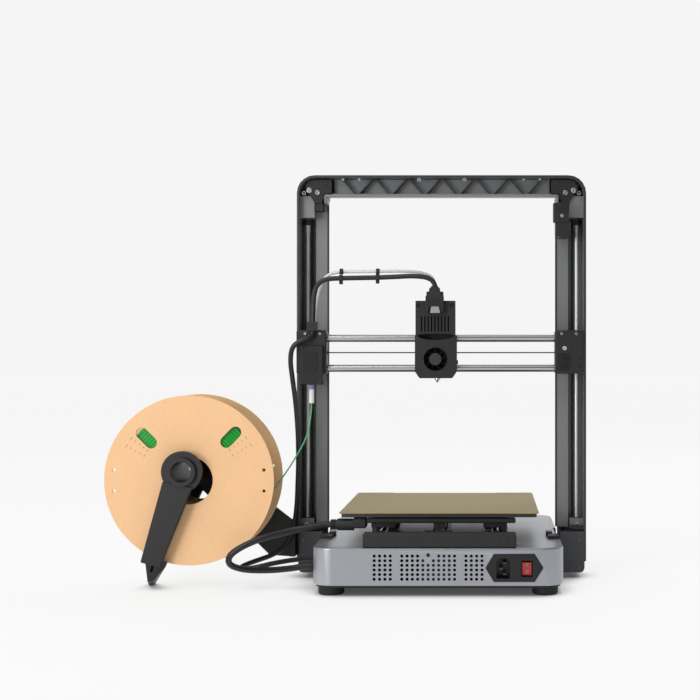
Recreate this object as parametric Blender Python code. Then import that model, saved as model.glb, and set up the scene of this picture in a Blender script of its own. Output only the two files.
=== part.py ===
"""A desktop 3D printer with an open portal frame, its bed and a side spool of filament.

The rear of the printer faces -Y. Dimensions are in millimetres until to_metres() turns them into metres.
X is counted from the middle of the base and moved at the end so that the whole object is centred on the origin.
"""

import math

import bmesh
import bpy
from mathutils import Vector

# ---- driving dimensions, in millimetres -------------------------------------------------------------------
GAP = 0.3

BASE_X = 144.5
BASE_Y = 161.0
BASE_BOTTOM = 11.8
DECK = 55.4
BASE_RADIUS = 24.0
SHELL = 2.5
PLATE_BOTTOM = 9.6
FOOT_RADIUS = 15.0
FOOT_X = 123.5
FOOT_Y = 138.0
NOTCH_X = 140.5
NOTCH_Y = (-36.5, 20.0)

PORTAL_X = 179.3
PORTAL_INNER_X = 142.0
PORTAL_Y = (-32.0, 16.0)
PORTAL_BOTTOM = 20.0
PORTAL_TOP = 498.8
BEAM_BOTTOM = 471.6
PORTAL_WALL = 3.0
PORTAL_RADIUS = 22.0
LIP_TOP = 477.0
DUCT_X = 158.6
DUCT_Y = -5.0
DUCT_Z = (60.0, 470.0)

Z_ROD_X = 169.2
Z_ROD_Y = -5.0
Z_ROD_RADIUS = 3.5
MOTOR_X = 158.4
MOTOR_Z = 33.5
MOTOR_SIDE = 35.0
IDLER_Z = 486.0
PULLEY_RADIUS = 4.9
BELT = 1.4
BELT_PITCH_RADIUS = 5.8
BELT_Y = {"left": (2.0, 7.0), "right": (7.4, 12.4)}

X_ROD_Y = -42.0
X_ROD_Z = {"top": 296.4, "bottom": 259.6}
X_ROD_RADIUS = 4.5
X_BELT_Z = 278.8
BLOCK_X = (139.5, 176.0)
BLOCK_Y = (-58.0, -33.5)
BLOCK_Z = (253.0, 306.0)

HEAD_X = (-30.6, 19.8)
HEAD_Y = (-75.0, 10.0)
HEAD_Z = (247.7, 341.2)
NOZZLE = (-6.0, -8.0, 241.6)
FAN = (-6.0, 270.7)
DRIVE = (0.4, 319.0)
EXTRUDER = (-11.6, 319.0)

Y_ROD_X = 66.0
Y_ROD_Z = 66.0
Y_PULLEY_Y = 137.0
Y_BELT_Z = (62.0, 68.0)
HOUSING_TOP = 71.4
BED = 235.0
BED_TOP = 90.3
PLUG = (-110.0, 76.0)

SPOOL_X = -294.2
SPOOL_Z = 127.9
SPOOL_Y = (-112.0, -46.0)
SPOOL_RADIUS = 100.0
SPOOL_BORE = 27.9
HUB_RADIUS = 38.0
WINDING_RADIUS = 82.0
TUBE_X = -299.7
TUBE_Z = 139.2
TUBE_RADIUS = 15.0
TUBE_BORE = 12.0

CENTRE_X = (PORTAL_X + SPOOL_X - SPOOL_RADIUS) / 2

# Cord routes: each is a list of points that a smooth curve runs through.
HEAD_CABLE = [
    (-7, -66, 356.8), (-7, -66, 361), (-10.5, -66, 366.4), (-17, -65.8, 369.6), (-26, -65.5, 371),
    (-38, -65, 371.4), (-56, -64, 370.6), (-77, -63, 369.8), (-100, -62.5, 369.4), (-121, -62, 369),
    (-134.5, -62, 368.3), (-143.5, -62, 365.8), (-150, -62, 360), (-153, -62, 351.5), (-154.3, -62, 340),
    (-154.8, -62, 329), (-155, -62, 321), (-155, -62, 316.3),
]
FEED_TUBE = [
    (-155.5, -44, 306.3), (-155.5, -44, 313), (-155.3, -44.5, 325), (-153.6, -46, 339), (-150.6, -48, 352),
    (-146.6, -50, 363), (-140.6, -52, 371), (-131.5, -54, 375.8), (-118, -56, 377.2), (-98, -57.5, 377.4),
    (-76, -58.5, 377.6), (-52, -57, 378), (-33, -51, 377.6), (-20, -42, 376), (-11.5, -31, 371.5),
    (-8, -20, 363), (-6.6, -12, 353), (-6, -8.4, 345), (-6, -8, 341.5),
]
HARNESS = [
    (-155.5, -62, 304.6), (-155.5, -62, 301.4), (-158.6, -64.2, 297.4), (-164, -66.5, 294.4),
    (-170.5, -67.3, 292), (-176.3, -67, 288.2), (-180.2, -65.5, 282.3), (-182, -63, 274), (-182.3, -60, 263),
    (-180.6, -56, 245), (-178.2, -52, 222), (-176.4, -49, 198), (-175.2, -47.5, 172), (-175, -47, 144),
    (-175.8, -47, 116), (-176.8, -48, 92), (-179.4, -50, 70), (-184.5, -53.5, 52), (-193, -59, 40),
    (-205, -65, 33), (-219, -71.5, 28.4), (-231, -77.5, 24.6), (-237.6, -83.5, 21.8), (-236, -90, 20.6),
    (-228, -94, 21.2), (-214, -94.5, 24), (-198, -92, 27.4), (-180, -87.5, 30), (-164, -83.5, 31.4),
    (-153, -82, 32), (-147.3, -82, 32),
]
BED_CABLE = [
    (-128.1, -110, 76), (-133, -110, 76), (-149, -112, 73.6), (-166.8, -115, 70.2), (-184, -120, 67),
    (-200.8, -126, 63.2), (-217.6, -131, 57.6), (-231, -134, 51), (-240.5, -134.6, 43.8), (-243.6, -132.6, 37),
    (-241.8, -128.4, 31.2), (-233.7, -122.4, 26.4), (-220.5, -116, 23.2), (-198, -108, 21.9), (-177, -102, 22.8),
    (-163.5, -99.6, 24.6), (-153, -99, 26), (-147.3, -99, 26),
]
STRAND = [
    (-158, -52, 217.7), (-158.6, -52.2, 208), (-160.2, -52.8, 194), (-163, -54, 180), (-167.6, -56, 167.6),
    (-174.2, -59.5, 155.2), (-182.6, -64.5, 140.6), (-190.4, -69, 128.6), (-199.5, -73, 116),
    (-208.5, -76.5, 103.8), (-218, -79.5, 91.2), (-226.9, -82, 79),
]
CORDS = {
    "head_cable": (HEAD_CABLE, 6.0, 3),
    "feed_tube": (FEED_TUBE, 4.0, 2),
    "harness": (HARNESS, 6.0, 3),
    "bed_cable": (BED_CABLE, 7.5, 3),
    "filament_strand": (STRAND, 1.75, 2),
}

COLOURS = {
    "casting": ((0.16, 0.165, 0.175), 0.38, 0.85),
    "deck_metal": ((0.33, 0.34, 0.37), 0.34, 0.8),
    "black": ((0.018, 0.018, 0.02), 0.5, 0.0),
    "dark_cover": ((0.04, 0.04, 0.043), 0.48, 0.1),
    "rubber": ((0.012, 0.012, 0.012), 0.8, 0.0),
    "steel": ((0.62, 0.62, 0.63), 0.22, 1.0),
    "gold": ((0.33, 0.28, 0.16), 0.45, 0.35),
    "aluminium": ((0.55, 0.55, 0.56), 0.4, 0.9),
    "card": ((0.72, 0.5, 0.28), 0.8, 0.0),
    "green": ((0.02, 0.32, 0.06), 0.35, 0.0),
    "red": ((0.55, 0.02, 0.02), 0.3, 0.0),
    "board": ((0.02, 0.12, 0.05), 0.5, 0.0),
    "clear": ((0.8, 0.8, 0.8), 0.2, 0.0),
}


# ---- helpers ----------------------------------------------------------------------------------------------
def to_metres(point):
    x, y, z = point
    return Vector(((x - CENTRE_X) / 1000, y / 1000, z / 1000))


def material(name):
    found = bpy.data.materials.get(name)
    if found:
        return found
    colour, roughness, metallic = COLOURS[name]
    made = bpy.data.materials.new(name)
    made.use_nodes = True
    shader = made.node_tree.nodes["Principled BSDF"]
    shader.inputs["Base Color"].default_value = (*colour, 1)
    shader.inputs["Roughness"].default_value = roughness
    shader.inputs["Metallic"].default_value = metallic
    return made


def node(name, bm, finish=None, pivot=None):
    """A named object from a mesh in millimetres. Without a finish it is a hidden helper for a Boolean."""
    bmesh.ops.recalc_face_normals(bm, faces=bm.faces)
    origin = to_metres(pivot) if pivot else Vector()
    for vertex in bm.verts:
        vertex.co = to_metres(vertex.co) - origin
    mesh = bpy.data.meshes.new(name)
    bm.to_mesh(mesh)
    bm.free()
    mesh.shade_smooth()
    mesh.set_sharp_from_angle(angle=math.radians(35))
    obj = bpy.data.objects.new(name, mesh)
    obj.location = origin
    bpy.context.scene.collection.objects.link(obj)
    if finish:
        mesh.materials.append(material(finish))
    else:
        obj.hide_render = True
        obj.display_type = "WIRE"
    return obj


def boolean(target, bm, operation):
    helper = node(f"{target.name}_{operation.lower()}_{len(target.modifiers)}", bm)
    modifier = target.modifiers.new(operation.title(), "BOOLEAN")
    modifier.operation = operation
    modifier.object = helper
    return target


def cut(target, *shapes):
    for shape in shapes:
        boolean(target, shape, "DIFFERENCE")


def add(target, *shapes):
    for shape in shapes:
        boolean(target, shape, "UNION")


def bevel(target, width, segments=1):
    modifier = target.modifiers.new("Bevel", "BEVEL")
    modifier.width = width / 1000
    modifier.segments = segments
    modifier.limit_method = "ANGLE"
    modifier.angle_limit = math.radians(50)


def box(x, y, z):
    bm = bmesh.new()
    bmesh.ops.create_cube(bm, size=1)
    for vertex in bm.verts:
        for axis, (low, high) in enumerate((sorted(x), sorted(y), sorted(z))):
            vertex.co[axis] = low if vertex.co[axis] < 0 else high
    return bm


def prism(outline, axis, low, high):
    """A flat outline swept from low to high along an axis. The outline gives the other two coordinates in order."""
    def place(pair, along):
        point = list(pair)
        point.insert("xyz".index(axis), along)
        return point

    bm = bmesh.new()
    bottom = [bm.verts.new(place(pair, low)) for pair in outline]
    top = [bm.verts.new(place(pair, high)) for pair in outline]
    bm.faces.new(bottom)
    bm.faces.new(reversed(top))
    count = len(outline)
    for i in range(count):
        j = (i + 1) % count
        bm.faces.new((bottom[j], bottom[i], top[i], top[j]))
    return bm


def cylinder(axis, centre, radius, low, high, sides=24):
    return prism(circle(centre, radius, sides), axis, low, high)


def circle(centre, radius, sides):
    steps = [2 * math.pi * i / sides for i in range(sides)]
    return [(centre[0] + radius * math.cos(a), centre[1] + radius * math.sin(a)) for a in steps]


def turned(axis, centre, profile, sides):
    """A closed profile of (radius, along) pairs turned about an axis that stands at centre. Radius 0 is a point."""
    bm = bmesh.new()
    rings = []
    for radius, along in profile:
        ring = []
        for across, up in circle(centre, radius, sides if radius else 1):
            point = [across, up]
            point.insert("xyz".index(axis), along)
            ring.append(bm.verts.new(point))
        rings.append(ring)
    for first, second in zip(rings, rings[1:] + rings[:1]):
        for i in range(sides):
            j = (i + 1) % sides
            corners = []
            for ring, k in ((first, i), (first, j), (second, j), (second, i)):
                vertex = ring[k % len(ring)]
                if vertex not in corners:
                    corners.append(vertex)
            if len(corners) > 2:
                bm.faces.new(corners)
    return bm


def hull(points):
    bm = bmesh.new()
    for point in points:
        bm.verts.new(point)
    bmesh.ops.convex_hull(bm, input=bm.verts)
    return bm


def rounded(corners, radii, steps=4):
    """An outline with each corner replaced by an arc. radii is one radius, or a list with one for each corner."""
    count = len(corners)
    if not isinstance(radii, (list, tuple)):
        radii = [radii] * count
    outline = []
    for i, corner in enumerate(corners):
        here = Vector(corner)
        if radii[i] == 0:
            outline.append(tuple(here))
            continue
        back = (Vector(corners[i - 1]) - here).normalized()
        ahead = (Vector(corners[(i + 1) % count]) - here).normalized()
        half = back.angle(ahead) / 2
        middle = here + (back + ahead).normalized() * radii[i] / math.sin(half)
        start = here + back * radii[i] / math.tan(half) - middle
        end = here + ahead * radii[i] / math.tan(half) - middle
        turn = start.angle_signed(end)
        for step in range(steps + 1):
            angle = -turn * step / steps
            spun = (
                start.x * math.cos(angle) - start.y * math.sin(angle),
                start.x * math.sin(angle) + start.y * math.cos(angle),
            )
            outline.append((middle.x + spun[0], middle.y + spun[1]))
    return outline


def rectangle(x, y, radius, steps=4):
    corners = [(x[0], y[0]), (x[1], y[0]), (x[1], y[1]), (x[0], y[1])]
    return rounded(corners, radius, steps) if radius else corners


def ribbon(path, axis, low, high, thickness, closed=True):
    """A strip of even thickness along a flat path, swept across its width."""
    count = len(path)
    sides = ([], [])
    for i, point in enumerate(path):
        before = Vector(path[i - 1]) if closed or i else Vector(point)
        after = Vector(path[(i + 1) % count]) if closed or i < count - 1 else Vector(point)
        along = (after - before).normalized()
        normal = Vector((-along.y, along.x))
        for side, sign in zip(sides, (0.5, -0.5)):
            spot = Vector(point) + normal * thickness * sign
            side.append((spot.x, spot.y))
    if not closed:
        return prism(sides[0] + sides[1][::-1], axis, low, high)
    bm = bmesh.new()
    rings = []
    for outline, along in ((sides[0], low), (sides[0], high), (sides[1], high), (sides[1], low)):
        ring = []
        for pair in outline:
            place = list(pair)
            place.insert("xyz".index(axis), along)
            ring.append(bm.verts.new(place))
        rings.append(ring)
    for first, second in zip(rings, rings[1:] + rings[:1]):
        for i in range(count):
            j = (i + 1) % count
            bm.faces.new((first[i], first[j], second[j], second[i]))
    return bm


def toothed(centre, inner, outer, teeth):
    """The outline of a wheel with square teeth."""
    outline = []
    for i in range(teeth):
        for radius, part in ((inner, 0.0), (outer, 0.15), (outer, 0.5), (inner, 0.65)):
            angle = 2 * math.pi * (i + part) / teeth
            outline.append((centre[0] + radius * math.cos(angle), centre[1] + radius * math.sin(angle)))
    return outline


def smooth_route(points, spacing):
    """Points at an even spacing along a Catmull-Rom curve through the route's points."""
    places = [Vector(p) for p in points]
    places = [2 * places[0] - places[1]] + places + [2 * places[-1] - places[-2]]
    fine = []
    for i in range(1, len(places) - 2):
        a, b, c, d = places[i - 1: i + 3]
        for step in range(12):
            t = step / 12
            fine.append(0.5 * (2 * b + (c - a) * t + (2 * a - 5 * b + 4 * c - d) * t ** 2 + (3 * b - a - 3 * c + d) * t ** 3))
    fine.append(places[-2])
    travelled = [0.0]
    for first, second in zip(fine, fine[1:]):
        travelled.append(travelled[-1] + (second - first).length)
    count = max(2, round(travelled[-1] / spacing))
    route, i = [], 0
    for step in range(count + 1):
        wanted = travelled[-1] * step / count
        while i < len(fine) - 2 and travelled[i + 1] < wanted:
            i += 1
        share = (wanted - travelled[i]) / (travelled[i + 1] - travelled[i])
        route.append(fine[i].lerp(fine[i + 1], min(max(share, 0), 1)))
    return route


def cord(name, points, diameter, resolution, finish):
    route = smooth_route(points, diameter * (2.5 if diameter > 3 else 4.5))
    # A short straight piece at each end keeps the end caps square to their glands.
    first, last = Vector(points[0]), Vector(points[-1])
    route.insert(1, first + (Vector(points[1]) - first).normalized() * 2)
    route.insert(-1, last + (Vector(points[-2]) - last).normalized() * 2)
    curve = bpy.data.curves.new(name, "CURVE")
    curve.dimensions = "3D"
    curve.bevel_depth = diameter / 2000
    curve.bevel_resolution = resolution
    curve.use_fill_caps = True
    spline = curve.splines.new("POLY")
    spline.points.add(len(route) - 1)
    for point, place in zip(spline.points, route):
        point.co = (*to_metres(place), 1)
    curve.materials.append(material(finish))
    bpy.context.scene.collection.objects.link(bpy.data.objects.new(name, curve))


def both_sides(make):
    for side, sign in (("left", -1), ("right", 1)):
        make(side, sign)


def span(sign, low, high):
    """An X range on one side of the middle."""
    return tuple(sorted((sign * low, sign * high)))


# ---- base -------------------------------------------------------------------------------------------------
def leg_notches():
    return [box(span(sign, NOTCH_X, 200), NOTCH_Y, (0, 100)) for sign in (-1, 1)]


def make_base():
    outline = rectangle((-BASE_X, BASE_X), (-BASE_Y, BASE_Y), BASE_RADIUS, 6)
    cover = node("base_cover", prism(outline, "z", BASE_BOTTOM, DECK), "deck_metal")
    bevel(cover, 2.0, 2)
    inside = rectangle((-BASE_X + SHELL, BASE_X - SHELL), (-BASE_Y + SHELL, BASE_Y - SHELL), BASE_RADIUS - SHELL, 6)
    add(cover, box((-84, 84), (140, 156), (DECK - 1, HOUSING_TOP)))
    cut(cover, prism(inside, "z", 0, DECK - SHELL), box((-10, 10), (130, 147), (DECK + 0.5, 80)))
    add(cover, cylinder("z", (0, Y_PULLEY_Y), 5.8, DECK - 1, 69.5))
    for y, z, radius in ((-82, 32, 5.5), (-99, 26, 6.0)):
        add(cover, cylinder("x", (y, z), radius, -BASE_X - SHELL, -BASE_X + 1, 16))
    cut(
        cover,
        box((64, 110.5), (-170, -150), (18, 48)),
        box((-115, -45), (150, 170), (21, 49)),
        cylinder("z", (0, -Y_PULLEY_Y), 4.0, 45, 60, 12),
        *[cylinder("y", (x, Y_ROD_Z), 4.3, 130, 155.8, 16) for x in (-Y_ROD_X, Y_ROD_X)],
        *leg_notches(),
    )
    floor = rectangle((-BASE_X + 3, BASE_X - 3), (-BASE_Y + 3, BASE_Y - 3), BASE_RADIUS - 3, 6)
    plate = node("base_plate", prism(floor, "z", PLATE_BOTTOM, BASE_BOTTOM - GAP), "dark_cover")
    cut(plate, *leg_notches())
    for end, y in (("rear", -FOOT_Y), ("front", FOOT_Y)):
        for side, x in (("left", -FOOT_X), ("right", FOOT_X)):
            foot = [(0, 0), (FOOT_RADIUS - 1, 0), (FOOT_RADIUS, 1), (FOOT_RADIUS, PLATE_BOTTOM - GAP)]
            foot.append((0, PLATE_BOTTOM - GAP))
            node(f"foot_{end}_{side}", turned("z", (x, y), foot, 24), "rubber")


def make_inlet():
    face = -BASE_Y - 1.5
    hexagon = [(54.5, 33), (64, 49), (110.5, 49), (120.7, 33), (110.5, 17), (64, 17)]
    panel = node("inlet_panel", prism(hexagon, "y", face, -BASE_Y - GAP), "black")
    bevel(panel, 0.5)
    add(panel, box((65, 109.5), (-BASE_Y - 1, -138), (18.5, 47.5)))
    cut(
        panel,
        prism(rounded([(67, 21), (82.4, 21), (82.4, 40), (79, 44), (70.4, 44), (67, 40)], 0.8, 1), "y", -165, -146),
        box((95.4, 108.2), (-165, -152), (23, 41.2)),
    )
    x, y, z = 101.8, -157.0, 32.1
    profile = [(-153.5, z - 3), (-158.8, z - 7.2), (-161.6, z - 7.2), (-160.4, z), (-162.2, z + 7.2)]
    profile += [(-158.8, z + 7.2), (-153.5, z + 3)]
    node("power_rocker", prism(profile, "x", x - 5.3, x + 5.3), "red", pivot=(x, y, z))


def make_electronics():
    supply = node("power_supply", box((30, 134), (-130, 20), (16, 50)), "aluminium")
    bevel(supply, 1.5)
    board = node("mainboard", box((-128, -30), (-60, 60), (20, 21.6)), "board")
    add(
        board,
        *[box((-126, -118), (y, y + 14), (21, 30)) for y in (-54, -34, -14, 6, 26)],
        box((-90, -62), (-20, 8), (21, 29)),
        box((-56, -34), (20, 54), (21, 33)),
    )
    screen = node("touchscreen", box((-118, -42), (BASE_Y + GAP, BASE_Y + 1.5), (18, 52)), "black")
    add(screen, box((-114, -46), (150, BASE_Y + 1), (22, 48)))


# ---- Y axis -----------------------------------------------------------------------------------------------
def make_y_axis():
    housing = node("rear_housing", box((-85.5, 90), (-160, -139.7), (DECK + GAP, HOUSING_TOP)), "black")
    bevel(housing, 1.2)
    add(housing, box((-16, 16), (-145, -127), (DECK + GAP, HOUSING_TOP)))
    cut(
        housing,
        box((-12, 12), (-150, -120), (40, 69.8)),
        *[cylinder("y", (x, Y_ROD_Z), 4.3, -155.8, -120, 16) for x in (-Y_ROD_X, Y_ROD_X)],
    )
    for side, x in (("left", -Y_ROD_X), ("right", Y_ROD_X)):
        node(f"y_rod_{side}", cylinder("y", (x, Y_ROD_Z), 4.0, -155.5, 155.5, 20), "steel")
    motor = node("y_motor", box((-21, 21), (-158, -116), (16, 49)), "dark_cover")
    bevel(motor, 3.0)
    add(motor, cylinder("z", (0, -Y_PULLEY_Y), 2.5, 48, 69, 16))
    bore, rim = 2.8, 5.9
    profile = [(bore, 60.5), (rim, 60.5), (rim, 69.2), (bore, 69.2)]
    pulley = turned("z", (0, -Y_PULLEY_Y), profile, 24)
    node("y_pulley", pulley, "aluminium", pivot=(0, -Y_PULLEY_Y, 65))
    reach = 6.9
    loop = rectangle((-reach, reach), (-Y_PULLEY_Y - reach, Y_PULLEY_Y + reach), reach, 8)
    node("y_belt", ribbon(loop, "z", *Y_BELT_Z, BELT), "rubber")


def make_bed():
    carriage = node("bed_carriage", box((-85, 90), (-116, -103), (78.2, 83.5)), "black", pivot=(0, 0, 80))
    bevel(carriage, 1.0)
    add(carriage, box((-80, 80), (98, 110), (75, 82)), box((-84, 84), (-16, 16), (76, 81)))
    for sign in (-1, 1):
        add(
            carriage,
            box(span(sign, 52, 80), (-110, 104), (72.5, 82)),
            box(span(sign, 54, 78), (-20, 20), (58.5, 77)),
            *[cylinder("z", (sign * 76, y), 4.5, 80, 84.5, 12) for y in (-90, 96)],
        )
        cut(
            carriage,
            box(span(sign, 58, 74), (-100, -26), (70, 79)),
            box(span(sign, 58, 74), (26, 94), (70, 79)),
            cylinder("y", (sign * Y_ROD_X, Y_ROD_Z), 4.4, -30, 30, 16),
        )
    add(carriage, box((-9, 9), (-8, 8), (68.5, 78)))
    side = BED / 2
    inner = side - 2.5
    heater = node("heated_bed", prism(rectangle((-inner, inner), (-inner, inner), 5, 3), "z", 84.8, 88.9), "aluminium")
    bevel(heater, 0.4)
    tab, notch = 46.0, 4.0
    outline = rounded(
        [
            (-side, -side), (side, -side), (side, side), (side - tab, side), (side - tab - notch, side - notch),
            (-side + tab + notch, side - notch), (-side + tab, side), (-side, side),
        ],
        [5, 5, 5, 2, 2, 2, 2, 5],
        3,
    )
    node("build_plate", prism(outline, "z", BED_TOP - 1.1, BED_TOP), "gold")
    plug = node("bed_plug", box((-101.5, -85.4), (-116.5, -97), (72, 83.6)), "black")
    bevel(plug, 1.2)
    add(plug, cylinder("x", PLUG, 7.0, -120, -100, 20), cylinder("x", PLUG, 5.6, -127.8, -118, 20))


# ---- portal frame -----------------------------------------------------------------------------------------
def portal_outline(out, inward, bottom):
    """The inverted U of the frame, with its outer faces moved in by out and its inner ones by inward."""
    x, top = PORTAL_X - out, PORTAL_TOP - out
    inner, beam = PORTAL_INNER_X + inward, BEAM_BOTTOM + inward
    corners = [(-x, bottom), (-x, top), (x, top), (x, bottom), (inner, bottom), (inner, beam), (-inner, beam)]
    corners.append((-inner, bottom))
    big, small = PORTAL_RADIUS - out, 5.0 - inward
    return rounded(corners, [0, big, big, 0, 0, small, small, 0], 5)


def rib_path():
    """A zigzag between the lower and upper walls of the beam."""
    low, high, reach, bays = BEAM_BOTTOM + PORTAL_WALL - 1, PORTAL_TOP - PORTAL_WALL + 1, 126.0, 12
    return [(-reach + 2 * reach * i / bays, low if i % 2 else high) for i in range(bays + 1)]


def make_portal():
    portal = node("portal_frame", prism(portal_outline(0, 0, PORTAL_BOTTOM), "y", *PORTAL_Y), "casting")
    bevel(portal, 1.2, 2)
    channel = portal_outline(PORTAL_WALL, PORTAL_WALL, 0)
    floor = PORTAL_Y[1] - PORTAL_WALL
    cut(portal, prism(channel, "y", PORTAL_Y[0] - 5, floor))
    add(portal, ribbon(rib_path(), "y", -26, 1.2, 2.0, closed=False))
    # The beam's lower wall is thick and rises to the front.
    add(
        portal,
        box((-135.5, 135.5), (-31.6, -21), (473, LIP_TOP - 1.6)),
        box((-147, 147), (-22, floor + 1), (473, LIP_TOP)),
    )
    for sign in (-1, 1):
        cut(portal, box(span(sign, 135, 145.2), (-40, 30), (0, 60)))
        cut(portal, box(span(sign, 135, 146), (-40, DUCT_Y), (0, 464)))
        # A shallow duct along the inner side of each leg covers the inner run of the belt.
        add(
            portal,
            box(span(sign, 143.5, 149.5), (DUCT_Y, floor + 1), DUCT_Z),
            box(span(sign, 143.5, DUCT_X), (DUCT_Y, DUCT_Y + 3), DUCT_Z),
            box(span(sign, DUCT_X - 1.6, DUCT_X), (DUCT_Y, floor + 1), DUCT_Z),
            box(span(sign, 158.5, 177), (-22, 1.2), (447, 474)),
            box(span(sign, 160, 177), (-14, 1.2), (60, 71.5)),
        )
        draft = [(sign * 135, DUCT_Y - 1), (sign * PORTAL_INNER_X, DUCT_Y - 1), (sign * 146.2, 17), (sign * 135, 17)]
        cut(portal, prism(draft, "z", 0, 472.5))
    rise = [(PORTAL_Y[0] - 1, 470), (PORTAL_Y[0] - 1, BEAM_BOTTOM), (17, 476.2), (17, 470)]
    cut(portal, prism(rise, "x", -143.5, 143.5))


def make_z_rod(side, sign):
    low, top, sleeve = 72.0, 446.5, 430.0
    profile = [(0, low), (Z_ROD_RADIUS, low), (Z_ROD_RADIUS, sleeve), (4.2, sleeve), (4.2, top), (0, top)]
    node(f"z_rod_{side}", turned("z", (sign * Z_ROD_X, Z_ROD_Y), profile, 20), "steel")


def make_corner_bracket(side, sign):
    outline = [(170, 480), (169.5, 487), (166, 492), (161, 494.2), (136, 494.6), (136, 476), (145.6, 475.4)]
    outline += [(145.6, 470), (150, 464.5), (157, 464), (164, 474.6)]
    plate = prism([(sign * x, z) for x, z in outline], "y", -26.5, -22.5)
    bracket = node(f"corner_bracket_{side}", plate, "black")
    bevel(bracket, 0.8)
    end = BELT_Y[side][1] + 0.2
    add(
        bracket,
        cylinder("y", (sign * MOTOR_X, IDLER_Z), 1.5, -24, end, 12),
        cylinder("y", (sign * MOTOR_X, IDLER_Z), 3.5, -24, 1.0, 12),
        box(span(sign, 148.6, 157), (-25, DUCT_Y - GAP), (455.5, 466)),
    )


def make_belt_drive(side, sign):
    low, high = BELT_Y[side]
    centre = (sign * MOTOR_X, MOTOR_Z)
    half = MOTOR_SIDE / 2
    motor = node(
        f"xz_motor_{side}",
        box((centre[0] - half, centre[0] + half), (-30, -2), (MOTOR_Z - half, MOTOR_Z + half)),
        "dark_cover",
    )
    bevel(motor, 2.0)
    add(motor, cylinder("y", centre, 2.5, -4, high, 16))
    pulley = turned("y", centre, [(2.8, low), (PULLEY_RADIUS, low), (PULLEY_RADIUS, high), (2.8, high)], 20)
    node(f"xz_pulley_{side}", pulley, "aluminium", pivot=(centre[0], low, MOTOR_Z))
    top = (sign * MOTOR_X, IDLER_Z)
    idler = turned("y", top, [(1.8, low), (PULLEY_RADIUS, low), (PULLEY_RADIUS, high), (1.8, high)], 20)
    node(f"top_idler_{side}", idler, "steel", pivot=(top[0], low, IDLER_Z))
    outer, inner = MOTOR_X + BELT_PITCH_RADIUS, MOTOR_X - BELT_PITCH_RADIUS
    bottom, far = MOTOR_Z - BELT_PITCH_RADIUS, -150.0
    corners = [(outer, bottom), (outer, 491.8), (far, 487.2), (far, 478.2), (inner, 480.2), (inner, bottom)]
    path = rounded([(sign * x, z) for x, z in corners], [5.8, 5.8, 4.4, 4.4, 5.8, 5.8], 6)
    node(f"xz_belt_{side}", ribbon(path, "y", low, high, BELT), "rubber")


def make_motor_cover(side, sign):
    outline = rounded([(sign * 146, 7), (sign * 177, 7), (sign * 177, 58), (sign * 146, 58)], [1, 6, 1, 1], 3)
    cover = node(f"motor_cover_{side}", prism(outline, "y", -36, -32.8), "dark_cover")
    bevel(cover, 0.8)
    add(cover, box(span(sign, 148, 175), (-34, 12), (7.5, 13)))


def make_limit_block():
    block = node("limit_block", box((137.9, 156.7), (-46, -33), (439, 463.2)), "black")
    bevel(block, 1.0)
    add(block, box((140.6, 141.7), (-44, -25), (422, 439.5)), box((140.6, 159.7), (-44, -33), (422, 440)))
    add(block, box((145.7, 157), (-35, DUCT_Y - GAP), (422, 439)))


# ---- X gantry ---------------------------------------------------------------------------------------------
def make_x_block(side, sign):
    block = node(f"x_block_{side}", box(span(sign, *BLOCK_X), BLOCK_Y, BLOCK_Z), "black")
    bevel(block, 1.5)
    add(
        block,
        box(span(sign, 163, 175.7), (BLOCK_Y[1] - 1, Z_ROD_Y), BLOCK_Z),
        cylinder("z", (sign * Z_ROD_X, Z_ROD_Y), 6.5, *BLOCK_Z),
    )
    if side == "left":
        add(block, box((-162, -149), (-66, -52), (305, 316)))
    cut(
        block,
        cylinder("z", (sign * Z_ROD_X, Z_ROD_Y), Z_ROD_RADIUS + 0.4, 200, 350, 20),
        *[cylinder("x", (X_ROD_Y, z), X_ROD_RADIUS + 0.3, *span(sign, 130, 158.3), 20) for z in X_ROD_Z.values()],
        box(span(sign, 130, 150.4), (-46, -38), (X_BELT_Z - 2, X_BELT_Z + 2)),
    )


def make_x_axis():
    for place, z in X_ROD_Z.items():
        node(f"x_rod_{place}", cylinder("x", (X_ROD_Y, z), X_ROD_RADIUS, -158, 158, 20), "steel")
    half = BELT / 2
    node("x_belt", box((-150, 150), (-45, -39), (X_BELT_Z - half, X_BELT_Z + half)), "rubber")
    sensor = node("filament_sensor", box((-172.5, -143), (-62.5, -58.3), (239.7, 287.5)), "black")
    bevel(sensor, 0.8)
    add(
        sensor,
        box((-172.5, -143), (-60, -45), (239.7, 252.7)),
        cylinder("z", (-158, -52), 2.6, 218, 241, 16),
    )


# ---- print head -------------------------------------------------------------------------------------------
def head_outline(inward, top, rise, run):
    """The lower half of the head, with its bottom corners cut off, moved in by inward."""
    x, bottom = (HEAD_X[0] + inward, HEAD_X[1] - inward), HEAD_Z[0] + inward
    rise, run = HEAD_Z[0] + rise, run - inward
    return [(x[0], top), (x[0], rise), (x[0] + run, bottom), (x[1] - run, bottom), (x[1], rise), (x[1], top)]


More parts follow.
